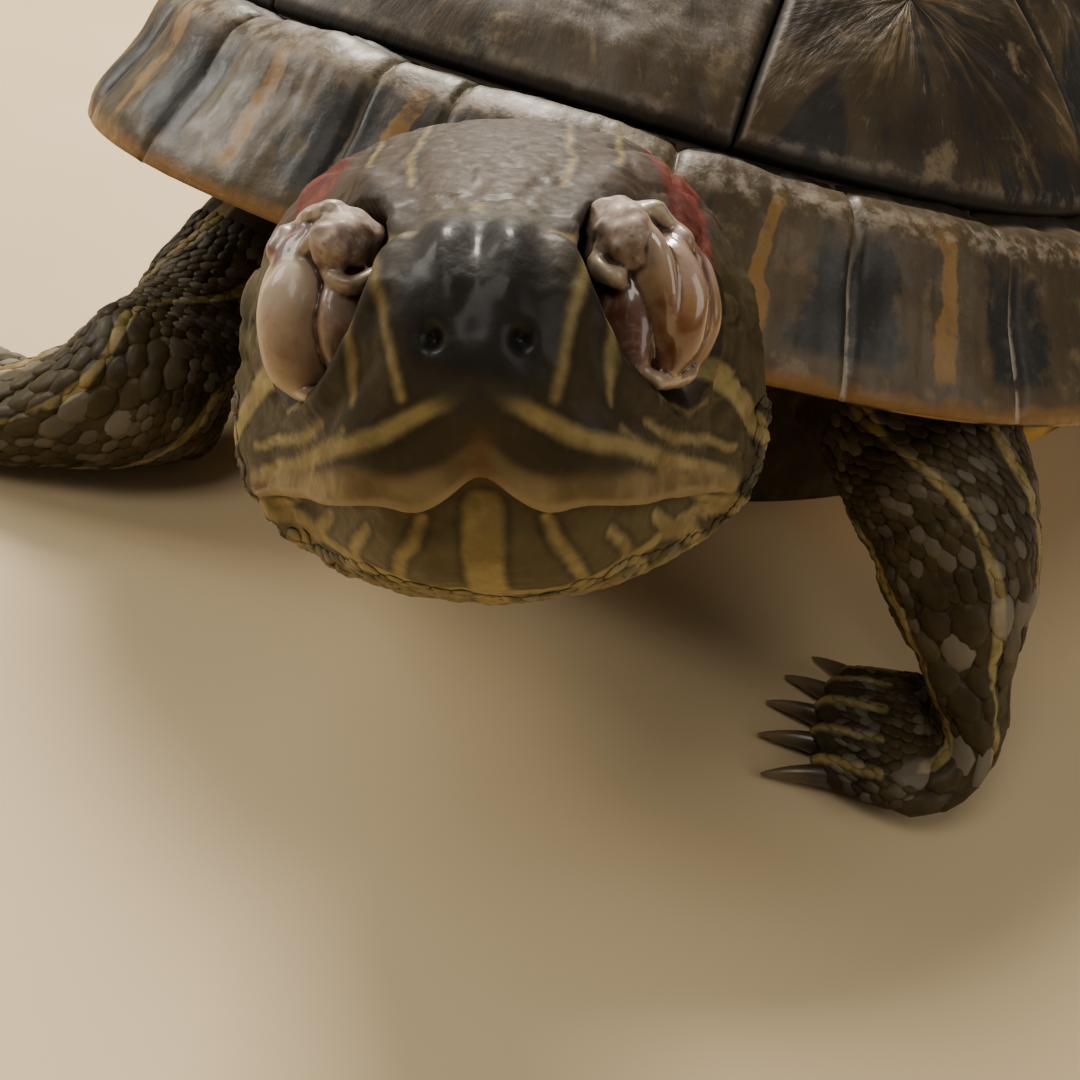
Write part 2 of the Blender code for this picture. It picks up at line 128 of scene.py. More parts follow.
def catmull(keys, t):
    # points on the smooth curve through rows of numbers, with t from 0 to the last row
    keys = np.asarray(keys, float)
    last = len(keys) - 1
    t = np.clip(np.asarray(t, float), 0, last)
    i = np.minimum(t.astype(int), last - 1)
    u = (t - i)[..., None]
    a, b, c, d = (keys[np.clip(i + k, 0, last)] for k in (-1, 0, 1, 2))
    return 0.5 * (2 * b + (c - a) * u + (2 * a - 5 * b + 4 * c - d) * u**2 + (3 * b - a - 3 * c + d) * u**3)


def unit(v):
    return v / np.maximum(np.linalg.norm(v, axis=-1, keepdims=True), 1e-9)


def running(steps):
    return np.concatenate([[0], np.cumsum(steps)])


def lengthAlong(points):
    # how far along a chain of points each one lies
    return running(np.linalg.norm(np.diff(points, axis=0), axis=1))


def aroundHub(count):
    # bearings evenly round a full turn
    return np.linspace(0, 2 * math.pi, count, endpoint=False)


def lineDistance(p, line):
    # nearest distance from points to a chain of straight steps, and how far along it that is (0 to 1)
    line = np.asarray(line, float)
    best = np.full(p.shape[:-1], 1e6)
    along = np.zeros(p.shape[:-1])
    for k, (a, b) in enumerate(zip(line, line[1:])):
        ab = b - a
        t = np.clip(((p - a) @ ab) / (ab @ ab), 0, 1)
        d = np.linalg.norm(p - a - t[..., None] * ab, axis=-1)
        closer = d < best
        best = np.where(closer, d, best)
        along = np.where(closer, (k + t) / (len(line) - 1), along)
    return best, along


# meshes

def gridFaces(rows, cols, start=0, wrap=True):
    r = np.arange(rows - 1)[:, None]
    c = np.arange(cols if wrap else cols - 1)[None, :]
    d = (c + 1) % cols
    return np.stack([start + r * cols + c, start + r * cols + d, start + (r + 1) * cols + d,
                     start + (r + 1) * cols + c], -1).reshape(-1, 4)


def fanFaces(row, hub, flip=False):
    pair = (row, np.roll(row, -1))
    if flip:
        pair = pair[::-1]
    return np.stack([*pair, np.full(len(row), hub)], -1)


def gridNormals(p):
    # outward for rows that run along a tube whose columns turn anticlockwise seen from its end
    across = np.roll(p, -1, 1) - np.roll(p, 1, 1)
    along = np.gradient(p, axis=0)
    return unit(np.cross(across, along))


def newPiece(name, points, faces, material, marks=None):
    # faces is a list of arrays, each of triangles or of quads
    mesh = bpy.data.meshes.new(name)
    flat = np.concatenate([f.reshape(-1) for f in faces]).astype(np.int32)
    sizes = np.concatenate([np.full(len(f), f.shape[1]) for f in faces]).astype(np.int32)
    mesh.vertices.add(len(points))
    mesh.vertices.foreach_set("co", (np.asarray(points, float) * mm).astype(np.float32).ravel())
    mesh.loops.add(len(flat))
    mesh.loops.foreach_set("vertex_index", flat)
    mesh.polygons.add(len(sizes))
    mesh.polygons.foreach_set("loop_start", (np.cumsum(sizes) - sizes).astype(np.int32))
    mesh.polygons.foreach_set("loop_total", sizes)
    mesh.update(calc_edges=True)
    mesh.validate()
    for key, values in (marks or {}).items():
        mark = mesh.attributes.new(key, "FLOAT", "POINT")
        mark.data.foreach_set("value", values.astype(np.float32).ravel())
    mesh.shade_smooth()
    if material:
        mesh.materials.append(material)
    obj = bpy.data.objects.new(name, mesh)
    bpy.context.scene.collection.objects.link(obj)
    return obj


class Loft:
    # a closed skin of grid rows, with a hub at each end, and the marks that its points carry
    def __init__(self, rows, marks, name):
        self.rows, self.marks, self.name = rows, marks, name

    def parts(self):
        rows, cols = self.rows.shape[:2]
        hubs = [self.rows[0].mean(0)[None], self.rows[-1].mean(0)[None]]
        points = np.concatenate([self.rows.reshape(-1, 3), *hubs])
        n = rows * cols
        faces = [gridFaces(rows, cols), fanFaces(np.arange(cols), n, True),
                 fanFaces(np.arange(cols) + n - cols, n + 1)]
        marks = {k: np.concatenate([v.ravel(), [v[0].mean(), v[-1].mean()]]) for k, v in self.marks.items()}
        return points, faces, marks


def joinParts(parts):
    points, faces, marks, start = [], [], {}, 0
    for p, f, m in parts:
        points.append(p)
        faces += [x + start for x in f]
        for k, v in m.items():
            marks.setdefault(k, []).append(v)
        start += len(p)
    return np.concatenate(points), faces, {k: np.concatenate(v) for k, v in marks.items()}


# materials: shader maths in plain expressions

class Value:
    # a socket that takes part in arithmetic
    def __init__(self, paint, socket):
        self.paint, self.socket = paint, socket

    def maths(self, operation, other=None, flip=False):
        pair = (other, self) if flip else (self, other)
        sockets = {0: self} if other is None else dict(enumerate(pair))
        return self.paint.add("ShaderNodeMath", {"operation": operation}, sockets)

    def __add__(self, other):
        return self.maths("ADD", other)

    def __radd__(self, other):
        return self.maths("ADD", other, True)

    def __sub__(self, other):
        return self.maths("SUBTRACT", other)

    def __rsub__(self, other):
        return self.maths("SUBTRACT", other, True)

    def __mul__(self, other):
        return self.maths("MULTIPLY", other)

    def __rmul__(self, other):
        return self.maths("MULTIPLY", other, True)


class Paint:
    # one material and its nodes
    def __init__(self, name, **constants):
        self.material = bpy.data.materials.new(name)
        self.material.use_nodes = True
        self.tree = self.material.node_tree
        self.shader = self.tree.nodes["Principled BSDF"]
        for key, value in constants.items():
            self.shader.inputs[key.replace("_", " ")].default_value = value
        self.place = self.add("ShaderNodeTexCoord", {}, {}, "Object")

    def add(self, kind, settings, sockets, out=0):
        node = self.tree.nodes.new(kind)
        for key, value in settings.items():
            setattr(node, key, value)
        for key, value in sockets.items():
            self.join(value, node.inputs[key])
        return Value(self, node.outputs[out])

    def join(self, value, socket):
        if isinstance(value, Value):
            self.tree.links.new(value.socket, socket)
        elif isinstance(value, (tuple, list)) and socket.type == "RGBA":
            socket.default_value = (*value[:3], 1)
        else:
            socket.default_value = value

    def mark(self, name):
        return self.add("ShaderNodeAttribute", {"attribute_name": name}, {}, "Fac")

    def noise(self, each, detail=3, rough=0.55, where=None, warp=0.0, stretch=(1, 1, 1)):
        # noise from 0 to 1 whose blobs are about each millimetres across
        spot = self.add("ShaderNodeVectorMath", {"operation": "MULTIPLY"},
                        {0: where or self.place, 1: tuple(s / (each * mm) for s in stretch)})
        return self.add("ShaderNodeTexNoise", {}, {"Vector": spot, "Scale": 1.0, "Detail": detail,
                                                   "Roughness": rough, "Distortion": warp})

    def cells(self, each):
        # distance to the nearest of scattered grains
        sockets = {0: self.place, "Scale": 1 / (each * mm)}
        spot = self.add("ShaderNodeVectorMath", {"operation": "SCALE"}, sockets)
        sockets = {"Vector": spot, "Scale": 1.0}
        return self.add("ShaderNodeTexVoronoi", {"feature": "F1"}, sockets, "Distance")

    def step(self, value, low, high):
        return self.add("ShaderNodeMapRange", {"interpolation_type": "SMOOTHSTEP"},
                        {"Value": value, "From Min": low, "From Max": high, "To Min": 0.0, "To Max": 1.0})

    def mix(self, under, over, share):
        return self.add("ShaderNodeMix", {"data_type": "RGBA"}, {0: share, 6: under, 7: over}, 2)

    def spot(self, x, y, z):
        return self.add("ShaderNodeCombineXYZ", {}, {0: x, 1: y, 2: z})

    def finish(self, colour, rough, *bumps):
        # bumps are (height, strength, millimetres) from the coarsest to the finest
        self.join(colour, self.shader.inputs["Base Color"])
        self.join(rough, self.shader.inputs["Roughness"])
        normal = None
        for height, strength, deep in bumps:
            sockets = {"Height": height, "Strength": strength, "Distance": deep * mm}
            if normal:
                sockets["Normal"] = normal
            normal = self.add("ShaderNodeBump", {}, sockets)
        if normal:
            self.join(normal, self.shader.inputs["Normal"])
        return self.material


# camera, floor and light

view = {"spot": (53.7, -183.0, 80.7), "turn": -21.0, "tip": 35.0, "roll": 12.0, "lens": 35.0,
        "sensor": 36.0, "near": 0.005}


def setCamera():
    turn, tip, roll = (math.radians(view[k]) for k in ("turn", "tip", "roll"))
    ahead = Vector((math.sin(turn) * math.cos(tip), math.cos(turn) * math.cos(tip), -math.sin(tip)))
    side = Vector((math.cos(turn), -math.sin(turn), 0))
    over = side.cross(ahead)
    right = side * math.cos(roll) + over * math.sin(roll)
    up = over * math.cos(roll) - side * math.sin(roll)
    camera = bpy.data.cameras.new("camera")
    camera.lens = view["lens"]
    camera.sensor_width = view["sensor"]
    camera.clip_start = view["near"]
    obj = bpy.data.objects.new("camera", camera)
    bpy.context.scene.collection.objects.link(obj)
    turned = Matrix((right, up, -ahead)).transposed().to_4x4()
    obj.matrix_world = Matrix.Translation((Vector(view["spot"]) + Vector(shellMid)) * mm) @ turned
    bpy.context.scene.camera = obj


room = {"air": (0.90, 0.88, 0.84), "strength": 0.065, "floor": 5000.0, "paper": (0.55, 0.42, 0.235),
        "fibre": (0.62, 0.48, 0.28)}
lamps = [  # name, spot, aim, width, watts, colour
    ("sun side", (-330, 380, 620), (20, -60, 40), 280, 14.5, (1.0, 0.92, 0.80)),
    ("high fill", (-60, -420, 620), (20, -90, 40), 300, 1.6, (1.0, 0.94, 0.86)),
    ("left fill", (520, -100, 330), (30, -60, 40), 420, 1.1, (1.0, 0.94, 0.86)),
    ("right glow", (-460, -150, 300), (-30, -100, 35), 240, 1.8, (1.0, 0.95, 0.86)),
]


def setLights():
    for name, spot, aim, width, watts, colour in lamps:
        lamp = bpy.data.lights.new(name, "AREA")
        lamp.size = width * mm
        lamp.energy = watts
        lamp.color = colour
        obj = bpy.data.objects.new(name, lamp)
        obj.location = Vector(spot) * mm
        obj.rotation_euler = (Vector(aim) - Vector(spot)).to_track_quat("-Z", "Y").to_euler()
        bpy.context.scene.collection.objects.link(obj)
    world = bpy.data.worlds.new("studio")
    world.use_nodes = True
    air = world.node_tree.nodes["Background"].inputs
    air["Color"].default_value = (*room["air"], 1)
    air["Strength"].default_value = room["strength"]
    bpy.context.scene.world = world


def setFloor():
    paint = Paint("floor paper")
    grain = paint.noise(60, 4)
    material = paint.finish(paint.mix(room["paper"], room["fibre"], grain), 0.6)
    corners = np.array([(-1, -1, 0), (1, -1, 0), (1, 1, 0), (-1, 1, 0)]) * room["floor"] / 2
    floor = newPiece("floor", corners, [np.array([[0, 1, 2, 3]])], material)


setCamera()
setLights()
setFloor()
print("camera, floor and light")


# the shell's form, in plan places measured from its middle

shell = {"length": 216.0, "width": 162.0, "top": 90.0, "rim": (45.0, 34.0, 34.0), "rise": (12.0, 13.0, 8.0),
         "power": 2.3, "dome": 2.2, "band": 14.0, "wall": 4.5, "widen": 0.035,
         "seam": 17.5,      # from the rim in to the line between edge plates and dome plates
         "ridge": 1.3, "gutter": 1.5}


def rimPlan(theta):
    p = 2 / shell["power"]
    y = -shell["length"] / 2 * signedPower(np.cos(theta), p)
    x = shell["width"] / 2 * signedPower(np.sin(theta), p) * (1 + shell["widen"] * y / shell["length"] * 2)
    return x, y


def byQuarter(theta, values):
    front, side, rear = values
    c = np.cos(theta)
    return side + (front - side) * np.maximum(c, 0) ** 2 + (rear - side) * np.maximum(-c, 0) ** 2


def polar(x, y):
    # the bearing of a plan place, its share of the way out to the rim, and the rim's distance there
    p = shell["power"]
    widen, share = np.ones_like(x), np.ones_like(x)
    for _ in range(3):
        a, b = np.abs(x) / (shell["width"] / 2 * widen), np.abs(y) / (shell["length"] / 2)
        share = np.maximum((a**p + b**p) ** (1 / p), 1e-6)
        widen = 1 + shell["widen"] * (y / share) / shell["length"] * 2
    theta = np.arctan2(np.sign(x) * a ** (p / 2), -np.sign(y) * b ** (p / 2))
    far = np.hypot(x, y) / share
    return theta, share, np.maximum(far, 1)


def shellForm(x, y):
    # height of the plain dome with its flatter band of edge plates, and how far in from the rim it is
    theta, share, far = polar(x, y)
    low, rise = byQuarter(theta, shell["rim"]), byQuarter(theta, shell["rise"])
    seam = 1 - shell["band"] / far
    band = low + rise * (1 - share) / (1 - seam)
    dome = low + rise + (shell["top"] - low - rise) * (1 - np.clip(share / seam, 0, 1) ** shell["dome"])
    return np.where(share >= seam, band, dome), (1 - share) * far


def topHeight(x, y):
    z, inward = shellForm(x, y)
    z = z + shell["ridge"] * hump(inward - 12.0, 3.6) - shell["gutter"] * hump(inward - shell["seam"], 2.6)
    return z + 0.5 * smooth(2, 7, inward) * smooth(13, 8, inward)


def underHeight(x, y):
    return shellForm(x, y)[0] - shell["wall"]


def inside(theta, inward):
    # the plan place that lies inward of the rim by so many millimetres towards the middle
    x, y = rimPlan(theta)
    far = np.hypot(x, y)
    return x * (1 - inward / far), y * (1 - inward / far)


def onShell(x, y, lift=0.0):
    # points on the shell's top face, raised along its normal
    near = 0.25
    z = topHeight(x, y)
    slopeX = (topHeight(x + near, y) - topHeight(x - near, y)) / (2 * near)
    slopeY = (topHeight(x, y + near) - topHeight(x, y - near)) / (2 * near)
    normal = unit(np.stack([-slopeX, -slopeY, np.ones_like(z)], -1))
    return np.stack([x, y, z], -1) + normal * np.asarray(lift)[..., None]


# the plates of the dome: each border is a chain of corners, and a "rim" step follows the seam there

plateLook = {"lift": 0.75, "sink": -0.35, "edge": 1.3, "ring": 0.011, "ringEvery": 1.9, "fan": 0.13,
             "undulate": 0.42, "gap": 0.22, "skirt": -1.3, "base": -1.6, "heart": 0.985}
seamAngles = np.linspace(0, math.pi, 1441)
seamX, seamY = inside(seamAngles, shell["seam"])


def seamBearing(x=None, y=None):
    # the bearing of the seam's point on the left side with this x at the front, or this y
    if x is not None:
        return seamAngles[np.argmin(np.abs(seamX - x) + 1000 * (seamY > 0))]
    return seamAngles[np.argmin(np.abs(seamY - y))]


frontCorner = seamBearing(x=26.5)
rearCorner = math.pi - seamBearing(x=25.0)
flank = [seamBearing(y=v) for v in (-42.0, 2.0, 44.0)]
vertebrals = [  # heart of the plate, left half of its border from front to rear, detail
    ((0, -68), [("rim", 0.0, frontCorner), (23.5, -70), (20.5, -57), (0, -55.5)], 1.0),
    ((0, -36), [(0, -55.5), (20.5, -57), (26.5, -39), (21, -20), (0, -18.5)], 0.6),
    ((0, 2), [(0, -18.5), (21, -20), (26.5, -1), (20.5, 18), (0, 19)], 0.5),
    ((0, 38), [(0, 19), (20.5, 18), (25, 36), (15.5, 54), (0, 55)], 0.5),
    ((0, 70), [(0, 55), (15.5, 54), (21, 69), ("rim", rearCorner, math.pi)], 0.5),
]
pleurals = [  # heart, whole border of the left one, detail of the left and the right one
    ((33, -60), [("rim", frontCorner, flank[0]), (26.5, -39), (20.5, -57), (23.5, -70)], (1.0, 0.7)),
    ((40, -18), [(26.5, -39), ("rim", flank[0], flank[1]), (26.5, -1), (21, -20)], (0.6, 0.5)),
    ((39, 22), [(26.5, -1), ("rim", flank[1], flank[2]), (25, 36), (20.5, 18)], (0.5, 0.5)),
    ((33, 57), [(25, 36), ("rim", flank[2], rearCorner), (21, 69), (15.5, 54)], (0.5, 0.5)),
]


def borderLine(steps, close):
    chain = []
    for step in steps:
        if step[0] == "rim":
            x, y = inside(np.linspace(step[1], step[2], 40), shell["seam"])
            chain += list(zip(x, y))
        else:
            chain.append(step)
    if close:
        chain.append(chain[0])
    return np.array(chain, float)


def evenly(line, each):
    d = lengthAlong(line)
    s = np.linspace(0, d[-1], max(int(d[-1] / each), 8), endpoint=False)
    return np.stack([np.interp(s, d, line[:, 0]), np.interp(s, d, line[:, 1])], -1)


def plate(heart, border, detail, number):
    # rings from the border in to the heart, over a lower rim and a closed underside
    edge = evenly(border, 0.55 / detail)
    middle = np.array(heart, float)
    # pull the border in from its neighbours' by half of the groove
    edge = edge - unit(edge - middle) * plateLook["gap"]
    reach = np.linalg.norm(edge - middle, axis=1)
    depth = np.concatenate([np.array([0, 0.25, 0.55, 0.9, 1.3, 1.8]),
                            np.arange(2.3, reach.max(), 0.6 / detail)]) / reach.max()
    share = 1 - np.append(depth[depth < plateLook["heart"]], plateLook["heart"])
    spots = middle + (edge - middle)[None] * share[:, None, None]
    inward = (1 - share)[:, None] * reach[None]
    x, y = spots[..., 0], spots[..., 1]
    place = np.stack([x, y, np.full_like(x, 7.0 * number)], -1)
    wobble = clouds(place, 9, number)
    around = np.broadcast_to(np.arctan2(edge[:, 1] - middle[1], edge[:, 0] - middle[0])[None], x.shape)
    fanned = np.stack([np.cos(around) * 9, np.sin(around) * 9, inward * 0.16 + number * 5.0], -1)
    rings = np.sin(2 * math.pi * (inward + 0.8 * wobble) / plateLook["ringEvery"]) * smooth(1.2, 3, inward)
    shoulder = np.sqrt(smooth(-0.4, plateLook["edge"], inward))
    lift = (plateLook["sink"] + (plateLook["lift"] - plateLook["sink"]) * shoulder
            + rings * plateLook["ring"] * smooth(1.0, 0.25, inward / reach.max())
            + plateLook["undulate"] * roughClouds(place, 13, 3, number) * smooth(1, 6, inward)
            + plateLook["fan"] * roughClouds(fanned, 1.5, 3, number + 7) * smooth(0.8, 4, inward)
            + 0.16 * roughClouds(place, 5.5, 2, number + 3) * smooth(0.8, 4, inward)
            + 0.10 * roughClouds(place, 2.4, 2, number + 5) * smooth(0.5, 3, inward))
    top = onShell(x, y, lift)
    skirt = onShell(x[:1], y[:1], np.full((1, len(edge)), plateLook["skirt"]))
    hub = onShell(middle[:1], middle[1:], np.array([lift[-1].mean()]))
    base = onShell(middle[:1], middle[1:], np.array([plateLook["base"]]))
    rows = np.concatenate([skirt, top])
    n, cols = rows.shape[0] * rows.shape[1], rows.shape[1]
    points = np.concatenate([rows.reshape(-1, 3), hub, base])
    area = np.sum(edge[:, 0] * np.roll(edge[:, 1], -1) - edge[:, 1] * np.roll(edge[:, 0], -1))
    faces = [gridFaces(rows.shape[0], cols), fanFaces(np.arange(cols) + n - cols, n),
             fanFaces(np.arange(cols), n + 1, True)]
    if area <= 0:
        faces = [f[:, ::-1] for f in faces]
    marks = {"inward": inward, "fanX": np.cos(around), "fanY": np.sin(around),
             "number": np.full_like(x, number)}
    marks = {k: np.concatenate([v[:1], v]).ravel() for k, v in marks.items()}
    marks = {k: np.concatenate([v, v[-1:], v[-1:]]) for k, v in marks.items()}
    return points + shellMid, faces, marks


def buildDome(material):
    number = 1
    groups = {"vertebral_plates": [], "pleural_plates_left": [], "pleural_plates_right": []}
    flip = np.array([-1, 1])
    for heart, half, detail in vertebrals:
        left = borderLine(half, False)
        border = np.concatenate([left, (left * flip)[::-1], left[:1]])
        keep = np.concatenate([[True], np.linalg.norm(np.diff(border, axis=0), axis=1) > 1e-6])
        groups["vertebral_plates"].append(plate(heart, border[keep], detail, number))
        number += 1
    for heart, steps, detail in pleurals:
        border = borderLine(steps, True)
        groups["pleural_plates_left"].append(plate(heart, border, detail[0], number))
        mirrored = plate(np.array(heart) * flip, border * flip, detail[1], number + 1)
        groups["pleural_plates_right"].append(mirrored)
        number += 2
    for name, parts in groups.items():
        points, faces, marks = joinParts(parts)
        piece = newPiece(name, points, faces, material, marks)
        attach(piece, "root")
        print(name, len(points))


# the ring of edge plates: a nuchal plate in front and twelve marginal plates each side

margin = {"joints": (4.5, 28.0, 48.0, 70.0),   # along the rim from the front, the rest are even
          "each": 12, "lift": 0.7, "sink": -0.3, "span": 17.0, "deep": 16.0, "notch": 1.6,
          "fine": 75.0,    # the columns are closer together up to here from the front
          "lip": 1.8}      # where the rim's round turns into the flat underside


def rimWalk():
    # the rim's left half as arc length against bearing
    theta = np.linspace(0, math.pi, 4001)
    x, y = rimPlan(theta)
    return theta, running(np.hypot(np.diff(x), np.diff(y)))


def marginColumns(length):
    # place along the rim, with its plate's middle, width and number; columns crowd towards each joint
    joints = list(margin["joints"])
    rest = np.linspace(joints[-1], length, margin["each"] - len(joints) + 2)[1:]
    joints = np.array(joints + list(rest))
    cuts = np.concatenate([-joints[::-1], joints])
    columns = []
    for k, (a, b) in enumerate(zip(cuts, cuts[1:])):
        near = min(abs(a), abs(b)) < margin["fine"]
        inner = np.arange(1.5, b - a - 1.5, 0.62 if near else 1.1)
        close = np.array([0.22, 0.45, 0.75, 1.1])
        steps = np.concatenate([[0], close, inner, b - a - close[::-1]])
        same = np.ones(len(steps))
        columns.append([a + steps, same * ((a + b) / 2), same * (b - a), same * k])
    return np.concatenate(columns, 1)


def buildMargin(material):
    theta, walk = rimWalk()
    q, middle, width, number = marginColumns(walk[-1])
    bearing = np.sign(q) * np.interp(np.abs(q), walk, theta)
    x0, y0 = rimPlan(bearing)
    ahead = unit(np.stack([np.gradient(x0), np.gradient(y0)], -1))
    out = np.stack([ahead[:, 1], -ahead[:, 0]], -1)
    out *= np.sign((out * np.stack([x0, y0], -1)).sum(-1))[:, None]
    toMiddle = -unit(np.stack([x0, y0], -1))
    out = unit(out * 0.5 - toMiddle * 0.5)
    deepest = shell["seam"] * -(out * toMiddle).sum(-1) - 0.25
    edge = np.minimum(np.abs(q - (middle - width / 2)), np.abs(q - (middle + width / 2)))
    edge = np.where(np.abs(np.abs(q) - walk[-1]) < 1e-6, 0, edge)
    back = smooth(0.45, 0.85, -np.cos(bearing))
    # rows from the seam out to the rim, spaced over the span, and then in again underneath
    top = np.concatenate([[0, 0.25, 0.55, 0.95, 1.5], np.linspace(2.2, 14.5, 22), [15.2, 15.8, 16.3, 16.7]])
    under = np.concatenate([[0.5, 1.2, 2.2], np.linspace(3.4, margin["deep"], 12)])
    rows, marksIn, marksUnder = [], [], []
    plateEdge = np.sqrt(smooth(-0.3, 1.2, edge))
    front = smooth(0.1, 0.6, np.cos(bearing))

    def inFrom(d):
        inset = d + margin["notch"] * back * hump(edge, 4.0) * hump(d, 5)
        return x0 - out[:, 0] * inset, y0 - out[:, 1] * inset

    for t in top / margin["span"]:
        d = deepest * (1 - t)
        x, y = inFrom(d)
        place = np.stack([x, y, number * 9], -1)
        shoulder = plateEdge * np.sqrt(smooth(-0.3, 1.2, deepest - d))
        rise = (margin["sink"] + (margin["lift"] - margin["sink"]) * shoulder
                + 0.42 * roughClouds(place, 11, 3, 3) * smooth(0, 3, edge) * smooth(0, 3, d)
                + 0.45 * front * smooth(0, 7, edge) * smooth(0, 5, d)
                + 0.16 * roughClouds(place, 4.5, 2, 13)
                + 0.03 * np.sin(edge * 2 * math.pi / 2.1 + 2 * clouds(place, 8, 4)) * smooth(1, 3, edge)
                + 0.10 * roughClouds(place, 2.2, 2, 9))
        rise = rise + front * (0.75 * hump(d - 10.8, 2.2) - 0.9 * smooth(13.2, 15.6, d))
        point = onShell(x, y, rise * smooth(-0.5, 2.0, d + 0.4))
        point[:, 2] -= 0.8 * hump(d, 1.1)
        rows.append(point)
        marksIn.append(d)
        marksUnder.append(np.zeros_like(d))
    rimLow = byQuarter(bearing, shell["rim"]) - byQuarter(bearing, (0.6, 1.8, 1.2))
    inner = underHeight(x0 - out[:, 0] * margin["deep"], y0 - out[:, 1] * margin["deep"])
    for d in under:
        x, y = inFrom(d)
        t = np.clip((d - margin["lip"]) / (margin["deep"] - margin["lip"]), 0, 1)
        z = rimLow + (inner - rimLow) * t - 0.35 * plateEdge * smooth(0, 3, margin["deep"] - d)
        z = z + 0.9 * hump(d, 1.3)
        rows.append(np.stack([x, y, z], -1))
        marksIn.append(np.full_like(x, d))
        marksUnder.append(np.ones_like(x))
    rows = np.array(rows)
    n, cols = rows.shape[0] * rows.shape[1], rows.shape[1]
    faces = [gridFaces(rows.shape[0], cols)]
    c = np.arange(cols)
    faces.append(np.stack([n - cols + c, n - cols + (c + 1) % cols, (c + 1) % cols, c], -1))
    faces = [f[:, ::-1] for f in faces]
    shape = rows.shape[:2]
    marks = {"inward": np.array(marksIn), "under": np.array(marksUnder),
             "edge": np.broadcast_to(edge, shape), "across": np.broadcast_to(q - middle, shape),
             "number": np.broadcast_to(number, shape)}
    marks = {k: np.array(v).ravel() for k, v in marks.items()}
    piece = newPiece("marginal_plates", rows.reshape(-1, 3) + shellMid, faces, material, marks)
    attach(piece, "root")
    print("marginal_plates", n)


# the bone under the plates, which shows only in their seams and from below: its rows of points are
# shares of the way out to the rim, or millimetres in from it
lining = {"roof": (0.06, 0.2, 0.35, 0.5, 0.62, 0.72, 0.8), "band": (17.5, 15, 12, 9, 6, 3.5),
          "under": (3.5, 7, 12, 16, 20), "inner": (0.72, 0.58, 0.42, 0.26, 0.1), "sunk": 1.0, "clear": 0.6}


def buildLining(material):
    theta = aroundHub(144)
    rimX, rimY = rimPlan(theta)
    sunk = np.full_like(rimX, -lining["sunk"])
    low = byQuarter(theta, shell["rim"])
    deep = underHeight(*inside(theta, margin["deep"]))
    rows = [onShell(rimX * share, rimY * share, sunk) for share in lining["roof"]]
    rows += [onShell(*inside(theta, inward), sunk) for inward in lining["band"]]
    for inward in lining["under"]:
        x, y = inside(theta, inward)
        t = min((inward - margin["lip"]) / (margin["deep"] - margin["lip"]), 1)
        z = low + (deep - low) * t if inward <= margin["deep"] else underHeight(x, y)
        rows.append(np.stack([x, y, z + lining["clear"]], -1))
    for share in lining["inner"]:
        x, y = rimX * share, rimY * share
        rows.append(np.stack([x, y, underHeight(x, y)], -1))
    points, faces, _ = Loft(np.array(rows), {}, "lining").parts()
    piece = newPiece("shell_lining", points + shellMid, [f[:, ::-1] for f in faces], material)
    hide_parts("carapace")
    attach(piece, "root")


# the belly plate and its bridges

belly = {"floor": 8.0, "wall": 4.0, "front": -89.0, "rear": 92.0, "lift": 4.5, "bridge": (-46.0, 40.0),
         "reach": 69.5, "wing": 21.0,
         "lobe": [(-89, 12), (-86, 21), (-78, 28), (-64, 33), (-46, 37), (-20, 38), (20, 38), (44, 38),
                  (62, 37), (78, 32), (88, 22), (92, 9)],
         "seams": ((-71, 0.30), (-48, 0.10), (-14, 0.0), (24, -0.04), (60, -0.28)),   # place and lean
         "blotches": (-80, -60, -31, 5, 42, 74), "blotch": (11.0, 9.5), "sideSeam": 50}


def bridgeShare(y):
    front, rear = belly["bridge"]
    return smooth(front - 7, front + 7, y) * (1 - smooth(rear - 7, rear + 7, y))


def bellyHeight(x, y):
    lift = belly["lift"] * smooth(-60, belly["front"], y) + 2.0 * smooth(60, belly["rear"], y)
    return belly["floor"] + lift + smooth(36, 74, np.abs(x)) * belly["wing"] * bridgeShare(y)


